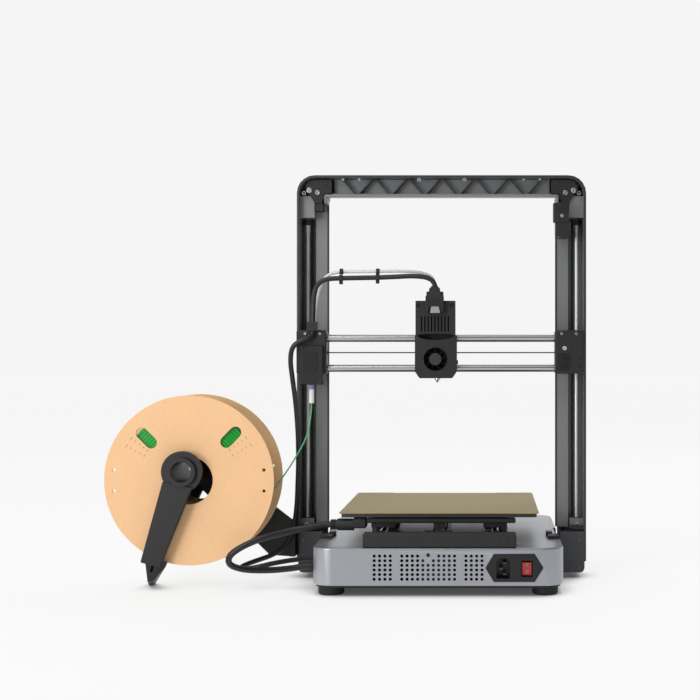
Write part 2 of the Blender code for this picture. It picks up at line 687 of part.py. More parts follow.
def make_head():
    x, z = HEAD_X, HEAD_Z
    core = node("head_carriage", box((x[0] + 2.6, x[1] - 2.6), (-52, -36), (252, 306)), "black")
    bevel(core, 1.0)
    cut(
        core,
        *[cylinder("x", (X_ROD_Y, height), X_ROD_RADIUS + 0.4, -60, 60, 20) for height in X_ROD_Z.values()],
        box((-60, 60), (-46, -38), (X_BELT_Z - 2, X_BELT_Z + 2)),
    )
    ledge, wall = 299.7, 2.0
    lower = rounded(head_outline(0, ledge, 8, 5.5), [1, 2, 2, 2, 2, 1], 2)
    inner = head_outline(wall, ledge - wall, 8.7, 6.6)
    shell = node("head_housing", prism(lower, "y", HEAD_Y[0], -52.3), "black")
    bevel(shell, 0.8)
    add(shell, box((x[0] + 0.7, x[1] - 1.8), (HEAD_Y[0] + 1.5, -52.3), (ledge - 1, z[1])))
    cut(
        shell,
        prism(inner, "y", HEAD_Y[0] + wall, -40),
        box((x[0] + wall + 0.7, x[1] - wall - 1.8), (HEAD_Y[0] + 3.5, -40), (ledge - 3, z[1] - wall)),
        cylinder("y", FAN, 14.0, -80, -70, 32),
    )
    side = x[1] - 3.4
    front = rounded([(x[0], z[1]), (x[0], 251), (side, 251), (side, z[1])], [3, 7, 7, 3], 2)
    cover = node("head_cover", prism(front, "y", -35.7, HEAD_Y[1]), "black")
    bevel(cover, 1.5)
    cut(
        cover,
        box((x[0] + wall, side - wall), (-40, HEAD_Y[1] - wall), (254.5, z[1] - wall)),
        box((-21, 9), (-22, 4), (240, 260)),
        cylinder("z", (NOZZLE[0], NOZZLE[1]), 3.0, 330, 350, 16),
    )


def make_hotend():
    x, y, tip = NOZZLE
    profile = [(0, tip), (1.0, tip), (3.2, tip + 3.4), (3.2, tip + 8), (2.0, 257), (2.0, 262)]
    for i in range(6):
        low = 262 + 5 * i
        profile += [(8.0, low), (8.0, low + 2.0), (4.0, low + 2.0), (4.0, low + 5)]
    profile += [(4.0, 306), (0, 306)]
    hotend = node("hotend", turned("z", (x, y), profile, 16), "aluminium")
    add(hotend, box((x - 10, x + 7), (y - 6, y + 6), (248.4, 258)))


def make_extruder():
    motor = node("extruder_motor", cylinder("y", EXTRUDER, 16.0, -71, -54, 28), "dark_cover")
    add(motor, cylinder("y", EXTRUDER, 2.4, -55, -14.5, 12))
    gear = node(
        "drive_gear",
        prism(toothed(DRIVE, 8.0, 9.2, 24), "y", -18, -15),
        "steel",
        pivot=(DRIVE[0], -16, DRIVE[1]),
    )
    add(gear, cylinder("y", DRIVE, 5.3, -16, -3, 20))
    blades = toothed(FAN, 7.6, 12.8, 9)
    fan = node("head_fan", prism(blades, "y", -71.5, -63), "black", pivot=(FAN[0], -67, FAN[1]))
    add(fan, cylinder("y", FAN, 7.6, -72.6, -62, 24))
    plug = node("head_plug", box((-17.5, 4.5), (-82, HEAD_Y[0] - GAP), (326, 352)), "black")
    bevel(plug, 1.0)
    add(plug, box((-16.5, 3.5), (-78, -56), (HEAD_Z[1] + GAP, 356.5)))


# ---- spool and its stand ----------------------------------------------------------------------------------
def make_holder():
    """The far arm, bolted to the outside of the left leg, with the tube that carries the spool."""
    arm = [(-182, 72), (-204.5, 89.5), (-280, 157), (-290, 164), (-306, 165), (-319, 156), (-326, 138)]
    arm += [(-323, 114), (-313, 101), (-299, 98), (-293.5, 109.8), (-224.9, 43.7), (-210.8, 30), (-182, 28)]
    holder = node("spool_holder", prism(arm, "y", -44, -36), "black")
    bevel(holder, 1.0)
    add(
        holder,
        box((-186, -PORTAL_X - GAP), (-44, 10), (28, 72)),
        cylinder("y", (TUBE_X, TUBE_Z), TUBE_RADIUS, -120.2, -37, 32),
    )
    cut(holder, cylinder("y", (TUBE_X, TUBE_Z), TUBE_BORE, -130, -30, 24))


def make_stand():
    """The near arm, which keeps the spool on the tube and stands on the desk."""
    hub = (TUBE_X, TUBE_Z)
    arm = [(-321.5, 128), (-287, 121.5), (-324.5, 28.5), (-331, 29.5), (-347.5, 33.8)]
    stand = node("spool_stand", prism(arm, "y", -128, -120.6), "black")
    bevel(stand, 0.8)
    foot = [(-341.7, -121.2, 30), (-340.6, -121.2, 10.4), (-334.5, -121.2, 10.4), (-319.4, -121.2, 27.8)]
    foot += [(-316.8, -121.2, 33.5), (-342, -127, 36), (-325, -127, 36)]
    foot += [(x, y, z) for x, y in ((-351, -71), (-344, -71), (-350, -80), (-343, -80)) for z in (0, 9)]
    add(
        stand,
        cylinder("y", hub, 24.0, -126.5, -120.6, 32),
        cylinder("y", hub, 17.0, -131.5, -121.2, 32),
        hull(foot),
    )
    cut(stand, cylinder("y", hub, TUBE_BORE, -140, -110, 24))


def make_spool():
    near, far = SPOOL_Y
    wall = 3.0
    profile = [(SPOOL_BORE, near), (SPOOL_RADIUS, near), (SPOOL_RADIUS, near + wall), (HUB_RADIUS, near + wall)]
    profile += [(HUB_RADIUS, far - wall), (SPOOL_RADIUS, far - wall), (SPOOL_RADIUS, far), (SPOOL_BORE, far)]
    axis = (SPOOL_X, SPOOL_Z)
    middle = (near + far) / 2
    node("spool", turned("y", axis, profile, 56), "card", pivot=(SPOOL_X, middle, SPOOL_Z))
    inner = HUB_RADIUS + 0.4
    low, high = near + wall + 0.4, far - wall - 0.4
    winding = [(inner, low), (WINDING_RADIUS, low), (WINDING_RADIUS, high), (inner, high)]
    node("filament_winding", turned("y", axis, winding, 48), "green", pivot=(SPOOL_X, middle, SPOOL_Z))


def make_cords():
    finishes = {"feed_tube": "clear", "filament_strand": "green"}
    for name, (points, diameter, resolution) in CORDS.items():
        cord(name, points, diameter, resolution, finishes.get(name, "rubber"))


def main():
    for obj in list(bpy.data.objects):
        bpy.data.objects.remove(obj)
    make_base()
    make_inlet()
    make_electronics()
    make_y_axis()
    make_bed()
    make_portal()
    both_sides(make_z_rod)
    both_sides(make_corner_bracket)
    both_sides(make_belt_drive)
    both_sides(make_motor_cover)
    make_limit_block()
    both_sides(make_x_block)
    make_x_axis()
    make_head()
    make_hotend()
    make_extruder()
    make_holder()
    make_stand()
    make_spool()
    make_cords()


main()
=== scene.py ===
"""The looks of the desktop 3D printer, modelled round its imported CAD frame.

Lengths are in millimetres: X from the middle of the portal, Y with the printer's rear at -Y and its front
at +Y, and Z up from the desk. to_row() turns them into the frame's metres.
"""

import math

import bmesh
import bpy
import numpy as np
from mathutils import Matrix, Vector


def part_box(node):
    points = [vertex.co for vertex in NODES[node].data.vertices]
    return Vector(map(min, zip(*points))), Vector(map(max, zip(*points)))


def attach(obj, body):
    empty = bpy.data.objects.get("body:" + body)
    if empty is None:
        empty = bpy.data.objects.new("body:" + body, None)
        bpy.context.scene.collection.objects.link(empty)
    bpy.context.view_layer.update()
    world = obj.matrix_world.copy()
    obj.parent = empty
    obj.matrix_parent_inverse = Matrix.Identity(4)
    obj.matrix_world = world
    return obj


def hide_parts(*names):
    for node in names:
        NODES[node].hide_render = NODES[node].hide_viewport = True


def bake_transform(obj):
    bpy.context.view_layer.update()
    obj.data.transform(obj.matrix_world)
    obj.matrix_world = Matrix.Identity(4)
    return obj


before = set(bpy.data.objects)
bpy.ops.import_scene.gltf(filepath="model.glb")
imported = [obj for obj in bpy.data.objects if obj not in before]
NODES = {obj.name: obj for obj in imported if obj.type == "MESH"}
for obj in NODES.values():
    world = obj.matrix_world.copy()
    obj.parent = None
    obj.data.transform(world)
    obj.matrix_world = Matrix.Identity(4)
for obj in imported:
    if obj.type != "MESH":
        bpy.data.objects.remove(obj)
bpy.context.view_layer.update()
PORTAL_LOW, PORTAL_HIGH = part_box("portal_frame")
MIDDLE_X = (PORTAL_LOW.x + PORTAL_HIGH.x) / 2

# ---- camera, in millimetres and lens millimetres ----
CAMERA = (55.2, -1627, 268.5)
LENS = 66.24
SHIFT = (-0.1943, 0.0157)

# ---- places that the looks stand on, in millimetres ----
REAR = -161.0  # the base's rear wall
DECK = 55.4  # the base's top
PORTAL_SIDE = 179.3  # the portal's outer sides, from the middle
PORTAL_TOP = 498.8
PORTAL_FACE = -26.5  # the portal's rear rim
DUCT_FACE = -5.0  # the floor of the portal's legs and beam
COVER_FACE = -36  # the motor covers' rear
BLOCK_FACE = -58  # the X blocks' rear
SENSOR_FACE = -62.5  # the filament sensor's rear
HEAD_FACE = -75.3  # the print head's rear
PULLEY_X = 158.4  # the leg pulleys and top idlers, each side of the middle
FAN = (-6, 270.7)  # the head fan's axis, in X and Z
HOTEND = (-6, -8)  # the hotend's axis, in X and Y
HEAD_SCREWS = ((-26.4, 335.5), (14.2, 335.5))
SPOOL = (-294.2, 127.9)  # the spool's axis, in X and Z
SPOOL_BORE = 27.9
SPOOL_ENDS = (-112.0, -46.0)
FLANGE = 3.0  # the thickness of a flange

# ---- edges: sharper than this, they're creased or split ----
CREASE = math.radians(38)
SPLIT = math.radians(50)

# ---- cords: listed routes, the same as the CAD's ----
HEAD_CABLE = [
    (-7, -66, 356.8), (-7, -66, 361), (-10.5, -66, 366.4), (-17, -65.8, 369.6), (-26, -65.5, 371),
    (-38, -65, 371.4), (-56, -64, 370.6), (-77, -63, 369.8), (-100, -62.5, 369.4), (-121, -62, 369),
    (-134.5, -62, 368.3), (-143.5, -62, 365.8), (-150, -62, 360), (-153, -62, 351.5), (-154.3, -62, 340),
    (-154.8, -62, 329), (-155, -62, 321), (-155, -62, 316.3),
]
FEED_TUBE = [
    (-155.5, -44, 306.3), (-155.5, -44, 313), (-155.3, -44.5, 325), (-153.6, -46, 339), (-150.6, -48, 352),
    (-146.6, -50, 363), (-140.6, -52, 371), (-131.5, -54, 375.8), (-118, -56, 377.2), (-98, -57.5, 377.4),
    (-76, -58.5, 377.6), (-52, -57, 378), (-33, -51, 377.6), (-20, -42, 376), (-11.5, -31, 371.5),
    (-8, -20, 363), (-6.6, -12, 353), (-6, -8.4, 345), (-6, -8, 341.5),
]
HARNESS = [
    (-155.5, -62, 304.6), (-155.5, -62, 301.4), (-158.6, -64.2, 297.4), (-164, -66.5, 294.4),
    (-170.5, -67.3, 292), (-176.3, -67, 288.2), (-180.2, -65.5, 282.3), (-182, -63, 274), (-182.3, -60, 263),
    (-180.6, -56, 245), (-178.2, -52, 222), (-176.4, -49, 198), (-175.2, -47.5, 172), (-175, -47, 144),
    (-175.8, -47, 116), (-176.8, -48, 92), (-179.4, -50, 70), (-184.5, -53.5, 52), (-193, -59, 40),
    (-205, -65, 33), (-219, -71.5, 28.4), (-231, -77.5, 24.6), (-237.6, -83.5, 21.8), (-236, -90, 20.6),
    (-228, -94, 21.2), (-214, -94.5, 24), (-198, -92, 27.4), (-180, -87.5, 30), (-164, -83.5, 31.4),
    (-153, -82, 32), (-147.3, -82, 32),
]
BED_CABLE = [
    (-128.1, -110, 76), (-133, -110, 76), (-149, -112, 73.6), (-166.8, -115, 70.2), (-184, -120, 67),
    (-200.8, -126, 63.2), (-217.6, -131, 57.6), (-231, -134, 51), (-240.5, -134.6, 43.8),
    (-243.6, -132.6, 37), (-241.8, -128.4, 31.2), (-233.7, -122.4, 26.4), (-220.5, -116, 23.2),
    (-198, -108, 21.9), (-177, -102, 22.8), (-163.5, -99.6, 24.6), (-153, -99, 26), (-147.3, -99, 26),
]
STRAND = [
    (-158, -52, 217.7), (-158.6, -52.2, 208), (-160.2, -52.8, 194), (-163, -54, 180), (-167.6, -56, 167.6),
    (-174.2, -59.5, 155.2), (-182.6, -64.5, 140.6), (-190.4, -69, 128.6), (-199.5, -73, 116),
    (-208.5, -76.5, 103.8), (-218, -79.5, 91.2), (-226.9, -82, 79),
]


# ---- placing and mesh helpers ----
def to_row(point):
    x, y, z = point
    return Vector((x / 1000 + MIDDLE_X, y / 1000, z / 1000))


def box(x, y, z):
    bm = bmesh.new()
    bmesh.ops.create_cube(bm, size=1)
    for vertex in bm.verts:
        for axis, (low, high) in enumerate((sorted(x), sorted(y), sorted(z))):
            vertex.co[axis] = low if vertex.co[axis] < 0 else high
    return bm


def along(axis, across, up, distance):
    """A point from its two flat coordinates, in X, Y, Z order, and its distance along the axis."""
    point = [across, up]
    point.insert("xyz".index(axis), distance)
    return point


def prism(outline, axis, low, high, bm=None):
    """A straight solid on an outline, made anew or added to a mesh."""
    bm = bm or bmesh.new()
    bottom = [bm.verts.new(along(axis, *pair, low)) for pair in outline]
    top = [bm.verts.new(along(axis, *pair, high)) for pair in outline]
    bm.faces.new(bottom)
    bm.faces.new(reversed(top))
    for i in range(len(outline)):
        j = (i + 1) % len(outline)
        bm.faces.new((bottom[j], bottom[i], top[i], top[j]))
    return bm


def circle(centre, radius, sides):
    steps = [2 * math.pi * i / sides for i in range(sides)]
    return [(centre[0] + radius * math.cos(a), centre[1] + radius * math.sin(a)) for a in steps]


def cylinder(axis, centre, radius, low, high, sides=24):
    return prism(circle(centre, radius, sides), axis, low, high)


def bridge(bm, loops):
    """Faces between loops of vertices that follow one another; a loop of one vertex is a tip."""
    for first, second in zip(loops, loops[1:]):
        count = max(len(first), len(second))
        for i in range(count):
            j = (i + 1) % count
            corners = []
            for ring, k in ((first, i), (first, j), (second, j), (second, i)):
                if ring[k % len(ring)] not in corners:
                    corners.append(ring[k % len(ring)])
            if len(corners) > 2:
                bm.faces.new(corners)


def lofted(axis, rings):
    """A closed solid through rings of (outline, distance); an outline of one point closes that end."""
    bm = bmesh.new()
    loops = [[bm.verts.new(along(axis, *pair, distance)) for pair in outline] for outline, distance in rings]
    bridge(bm, loops)
    for loop in (loops[0], loops[-1]):
        if len(loop) > 2:
            bm.faces.new(loop)
    return bm


def turned(axis, centre, profile, sides, closed=False):
    """A profile of (radius, distance) pairs turned about an axis. closed joins its ends."""
    bm = bmesh.new()
    rings = []
    for radius, distance in profile:
        outline = circle(centre, radius, sides if radius else 1)
        rings.append([bm.verts.new(along(axis, *pair, distance)) for pair in outline])
    bridge(bm, rings + rings[:1] if closed else rings)
    return bm


def hoop(axis, centre, inner, outer, low, high, sides=24):
    """A square-edged ring about an axis."""
    profile = [(inner, low), (outer, low), (outer, high), (inner, high)]
    return turned(axis, centre, profile, sides, closed=True)


def rounded(corners, radius, steps=5):
    """An outline with arcs for corners. radius is one number, or a list with one for each corner."""
    radii = radius if isinstance(radius, list) else [radius] * len(corners)
    outline = []
    for i, (corner, size) in enumerate(zip(corners, radii)):
        here = Vector(corner)
        if not size:
            outline.append(tuple(here))
            continue
        back = (Vector(corners[i - 1]) - here).normalized()
        ahead = (Vector(corners[(i + 1) % len(corners)]) - here).normalized()
        half = back.angle(ahead) / 2
        middle = here + (back + ahead).normalized() * size / math.sin(half)
        start = here + back * size / math.tan(half) - middle
        end = here + ahead * size / math.tan(half) - middle
        first = math.atan2(start.y, start.x)
        turn = (math.atan2(end.y, end.x) - first + math.pi) % (2 * math.pi) - math.pi
        for step in range(steps + 1):
            angle = first + turn * step / steps
            outline.append((middle.x + size * math.cos(angle), middle.y + size * math.sin(angle)))
    return outline


def rectangle(x, y, radius=0.0, steps=5):
    corners = [(x[0], y[0]), (x[1], y[0]), (x[1], y[1]), (x[0], y[1])]
    return rounded(corners, radius, steps) if radius else corners


def slot_outline(start, end, radius, steps=8):
    """A straight slot with round ends between two flat points."""
    start, end = Vector(start), Vector(end)
    heading = math.atan2(end.y - start.y, end.x - start.x)
    outline = []
    for middle, first in ((end, heading - math.pi / 2), (start, heading + math.pi / 2)):
        for step in range(steps + 1):
            angle = first + math.pi * step / steps
            outline.append((middle.x + radius * math.cos(angle), middle.y + radius * math.sin(angle)))
    return outline


def hull(points):
    bm = bmesh.new()
    for point in points:
        bm.verts.new(point)
    bmesh.ops.convex_hull(bm, input=bm.verts)
    return bm


def fastener(axis, centre, surface, facing, radius=2.6, height=1.6):
    """A cap screw head with a hexagonal recess, standing on a surface and facing along an axis."""
    sides = 24
    key = radius * 0.5

    def hexagon():
        outline = []
        for i in range(sides):
            angle = 2 * math.pi * i / sides
            reach = key / math.cos(angle % (math.pi / 3) - math.pi / 6)
            outline.append((centre[0] + reach * math.cos(angle), centre[1] + reach * math.sin(angle)))
        return outline

    levels = [
        (circle(centre, radius, sides), -0.3 * height), (circle(centre, radius, sides), 0.75 * height),
        (circle(centre, radius * 0.88, sides), height), (hexagon(), height), (hexagon(), 0.3 * height),
        ([tuple(centre)], 0.2 * height),
    ]
    return lofted(axis, [(outline, surface + facing * distance) for outline, distance in levels])


def rear_screw(spot, face, radius, height, finish="screw"):
    """A cap screw that faces the rear, with its finish."""
    return fastener("y", spot, face, -1, radius, height), finish


def placed(name, data):
    """A new object in the scene."""
    obj = bpy.data.objects.new(name, data)
    bpy.context.scene.collection.objects.link(obj)
    return obj


def merged(name, shapes):
    """One mesh from (mesh in millimetres, finish) pairs, and its finishes in the order of its slots."""
    whole = bmesh.new()
    finishes = []
    for shape, finish in shapes:
        if finish not in finishes:
            finishes.append(finish)
        bmesh.ops.recalc_face_normals(shape, faces=shape.faces)
        for face in shape.faces:
            face.material_index = finishes.index(finish)
        part = bpy.data.meshes.new("part")
        shape.to_mesh(part)
        shape.free()
        whole.from_mesh(part)
        bpy.data.meshes.remove(part)
    for vertex in whole.verts:
        vertex.co = to_row(vertex.co)
    mesh = bpy.data.meshes.new(name)
    whole.to_mesh(mesh)
    whole.free()
    return mesh, finishes


def soften(obj, bevel):
    """Bevelled edges."""
    modifier = obj.modifiers.new("Bevel", "BEVEL")
    modifier.width = bevel / 1000
    modifier.segments = 2
    modifier.limit_method = "ANGLE"
    modifier.angle_limit = CREASE


def cut_away(obj, shapes):
    """Shapes taken out of an object, by a Boolean with a hidden helper."""
    mesh, _ = merged(f"{obj.name}_cuts", [(shape, None) for shape in shapes])
    helper = placed(mesh.name, mesh)
    helper.hide_render = True
    helper.display_type = "WIRE"
    boolean = obj.modifiers.new("Cuts", "BOOLEAN")
    boolean.operation = "DIFFERENCE"
    boolean.solver = "EXACT"
    boolean.object = helper


def split_edges(obj):
    split = obj.modifiers.new("Edges", "EDGE_SPLIT")
    split.split_angle = SPLIT


def flat_normals(obj):
    normals = obj.modifiers.new("Normals", "WEIGHTED_NORMAL")
    normals.keep_sharp = True


def model(name, body, shapes, replaces=(), bevel=0.25):
    """One piece from (mesh in millimetres, finish) pairs. It rides on a body and may stand for CAD nodes."""
    mesh, finishes = merged(name, shapes)
    for finish in finishes:
        mesh.materials.append(MATERIALS[finish])
    mesh.shade_smooth()
    mesh.set_sharp_from_angle(angle=CREASE)
    obj = placed(name, mesh)
    if bevel:
        soften(obj, bevel)
    flat_normals(obj)
    if body:
        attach(obj, body)
    if replaces:
        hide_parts(*replaces)
    return obj


def dress(node, finish, bevel=0.4, cuts=()):
    """A CAD node keeps its shape and gets its finish, softened edges and, with cuts, its small openings."""
    obj = NODES[node]
    obj.data.materials.clear()
    obj.data.materials.append(MATERIALS[finish])
    obj.data.attributes.remove(obj.data.attributes["custom_normal"])
    obj.data.shade_smooth()
    weld = obj.modifiers.new("Weld", "WELD")
    weld.merge_threshold = 1e-5
    if bevel:
        soften(obj, bevel)
    if cuts:
        cut_away(obj, cuts)
    if cuts or not bevel:
        split_edges(obj)
    flat_normals(obj)
    return obj


# ---- materials ----
class Nodes:
    """A small builder for the node tree of a material or a world."""

    def __init__(self, owner, shader="Principled BSDF", place="Object"):
        owner.use_nodes = True
        self.owner = owner
        self.tree = owner.node_tree
        self.shader = self.tree.nodes[shader]
        self.coordinates = self.add("ShaderNodeTexCoord").outputs
        self.place = self.coordinates[place]

    def add(self, kind, inputs=None, **settings):
        made = self.tree.nodes.new(kind)
        for key, value in settings.items():
            setattr(made, key, value)
        self.feed(made, inputs or {})
        return made

    def feed(self, node, inputs):
        """Fills a node's inputs, each with another node's output, a number, a vector or a colour."""
        for name, value in inputs.items():
            into = node.inputs[name]
            if isinstance(value, bpy.types.NodeSocket):
                self.tree.links.new(value, into)
            else:
                into.default_value = (*value, 1) if into.type == "RGBA" else value

    def stretched(self, scale):
        return self.add("ShaderNodeMapping", {"Scale": scale, "Vector": self.place}).outputs["Vector"]

    def noise(self, scale, detail=3.0, vector=None):
        inputs = {"Scale": scale, "Detail": detail, "Vector": vector or self.place}
        return self.add("ShaderNodeTexNoise", inputs).outputs["Fac"]

    def axes(self, vector):
        return self.add("ShaderNodeSeparateXYZ", {"Vector": vector}).outputs

    def between(self, factor, low, high, near=0.3, far=0.7):
        """Maps a factor's middle range onto low..high, numbers or colours."""
        if not isinstance(low, (int, float)):
            return self.ramp(factor, ((near, low), (far, high)))
        inputs = {"Value": factor, "From Min": near, "From Max": far, "To Min": low, "To Max": high}
        return self.add("ShaderNodeMapRange", inputs).outputs["Result"]

    def ramp(self, factor, stops):
        """A colour by a factor, from (position, colour) stops."""
        made = self.add("ShaderNodeValToRGB", {"Fac": factor})
        elements = made.color_ramp.elements
        elements[0].position, elements[1].position = stops[0][0], stops[-1][0]
        for position, _ in stops[1:-1]:
            elements.new(position)
        for element, (_, colour) in zip(elements, stops):
            element.color = (*colour, 1)
        return made.outputs["Color"]

    def mixed(self, share, first, second, blend="MIX"):
        inputs = {"Fac": share, "Color1": first, "Color2": second}
        return self.add("ShaderNodeMixRGB", inputs, blend_type=blend).outputs["Color"]

    def dimmed(self, colour, value, factors, reach):
        """A colour times a number that runs between two factors while the value crosses its reach."""
        return self.mixed(1, colour, self.between(value, *factors, *reach), "MULTIPLY")

    def bump(self, height, strength, distance):
        """Relief, its depth in millimetres."""
        inputs = {"Height": height, "Strength": strength, "Distance": distance / 1000}
        self.feed(self.shader, {"Normal": self.add("ShaderNodeBump", inputs).outputs["Normal"]})


def shifted(colour, factor):
    return tuple(min(1.0, channel * factor) for channel in colour)


def surface(
    name, colour, roughness, metallic=0.0, grain=2500, relief=0.04, mottle=0.06, coat=0.0, wear=0.0, sheen=0.5
):
    """A moulded, painted or machined surface: fine grain, slightly uneven colour and gloss, worn edges."""
    n = Nodes(bpy.data.materials.new(name))
    fine = n.noise(grain, 2)
    tone = n.between(n.noise(14, 4), shifted(colour, 1 - mottle), shifted(colour, 1 + mottle))
    if wear:
        edge = n.add("ShaderNodeNewGeometry").outputs["Pointiness"]
        tone = n.mixed(n.between(edge, 0.0, wear, 0.53, 0.6), tone, shifted(colour, 2.4))
    n.feed(n.shader, {
        "Base Color": tone,
        "Roughness": n.between(fine, roughness * 0.9, min(1.0, roughness * 1.12)),
        "Metallic": metallic,
        "Coat Weight": coat,
        "Specular IOR Level": sheen,
    })
    n.bump(fine, 0.35, relief)
    return n.owner


def brushed(name, colour, roughness, scale, painted_lower_shade=1.0):
    """Ground or drawn metal: fine lines along one axis. Its lower side can be painted darker, as painted
    shade for dark reflections beneath it.
    """
    n = Nodes(bpy.data.materials.new(name))
    lines = n.noise(1.0, 2, n.stretched(scale))
    tone = n.between(lines, shifted(colour, 0.86), shifted(colour, 1.05))
    if painted_lower_shade < 1:
        # Painted shade: the colour darkens as the surface turns downward, for dark reflections under the rod.
        upward = n.axes(n.coordinates["Normal"])["Z"]
        tone = n.dimmed(tone, upward, (painted_lower_shade, 1.0), (-0.75, -0.3))
    gloss = n.between(lines, roughness * 0.75, roughness * 1.3)
    n.feed(n.shader, {"Base Color": tone, "Roughness": gloss, "Metallic": 1.0})
    n.bump(lines, 0.06, 0.005)
    return n.owner


def cardboard(name, colour, printed):
    """Kraft card with fibres, a slight mottle and, where it is printed, a smoother skin."""
    n = Nodes(bpy.data.materials.new(name))
    fibres = n.noise(900, 5, n.stretched((1, 1, 0.35)))
    card = n.between(fibres, shifted(colour, 0.94), shifted(colour, 1.03))
    mottle = n.between(n.noise(30, 3), (0.97, 0.965, 0.96), (1, 1, 1))
    tone = n.mixed(1, card, mottle, "MULTIPLY")
    n.feed(n.shader, {"Base Color": tone, "Roughness": 0.62 if printed else 0.88})
    n.bump(fibres, 0.25, 0.05)
    return n.owner


def filament(name, colour, painted_layer_shade=False):
    """Glossy filament. On the spool it can get lighter and darker rings round its middle: painted shade and
    highlight for the rounded strands, layer on layer.
    """
    n = Nodes(bpy.data.materials.new(name))
    tone = n.between(n.noise(60, 3), shifted(colour, 0.9), shifted(colour, 1.12))
    if painted_layer_shade:
        # Painted shade and highlight: lighter and darker rings about the spool's axis multiply the colour.
        centre = -to_row((SPOOL[0], 0, SPOOL[1]))
        middle = n.add("ShaderNodeMapping", {"Location": centre, "Vector": n.place}).outputs["Vector"]
        waves = {"Scale": 88, "Distortion": 1.2, "Vector": middle}
        rings = n.add("ShaderNodeTexWave", waves, wave_type="RINGS", rings_direction="Y").outputs["Fac"]
        tone = n.mixed(1, tone, n.between(rings, (0.6, 0.6, 0.6), (1.15, 1.15, 1.15), 0.2, 0.8), "MULTIPLY")
    n.feed(n.shader, {
        "Base Color": tone, "Roughness": 0.3,
        "Subsurface Weight": 0.1, "Subsurface Radius": (0.001, 0.002, 0.001),
    })
    n.bump(n.noise(1500, 2), 0.15, 0.02)
    return n.owner


def coated_plate(name, colour):
    """A textured powder coat on spring steel: coarse sparkle over a khaki ground."""
    n = Nodes(bpy.data.materials.new(name))
    cells = n.add("ShaderNodeTexVoronoi", {"Scale": 900, "Vector": n.place}).outputs["Distance"]
    tone = n.between(n.noise(1400, 3), shifted(colour, 0.86), shifted(colour, 1.12))
    n.feed(n.shader, {
        "Base Color": tone, "Roughness": n.between(cells, 0.62, 0.42, 0.1, 0.6), "Metallic": 0.25,
    })
    n.bump(cells, 0.4, 0.06)
    return n.owner


def translucent(name, colour, roughness):
    n = Nodes(bpy.data.materials.new(name))
    tone = n.between(n.noise(200, 2), shifted(colour, 0.95), colour)
    n.feed(n.shader, {"Base Color": tone, "Roughness": roughness, "Transmission Weight": 0.35, "IOR": 1.38})
    return n.owner


def circuit(name):
    n = Nodes(bpy.data.materials.new(name))
    bricks = n.add("ShaderNodeTexBrick", {
        "Scale": 160, "Mortar Size": 0.03, "Vector": n.place,
        "Color1": (0.012, 0.10, 0.04), "Color2": (0.012, 0.085, 0.035), "Mortar": (0.03, 0.22, 0.08),
    })
    n.feed(n.shader, {"Base Color": bricks.outputs["Color"], "Roughness": 0.35})
    return n.owner


def glossy_screen(name):
    n = Nodes(bpy.data.materials.new(name))
    tone = n.between(n.noise(6, 2), (0.006, 0.007, 0.009), (0.012, 0.013, 0.016))
    n.feed(n.shader, {"Base Color": tone, "Roughness": 0.06, "Coat Weight": 0.6})
    return n.owner


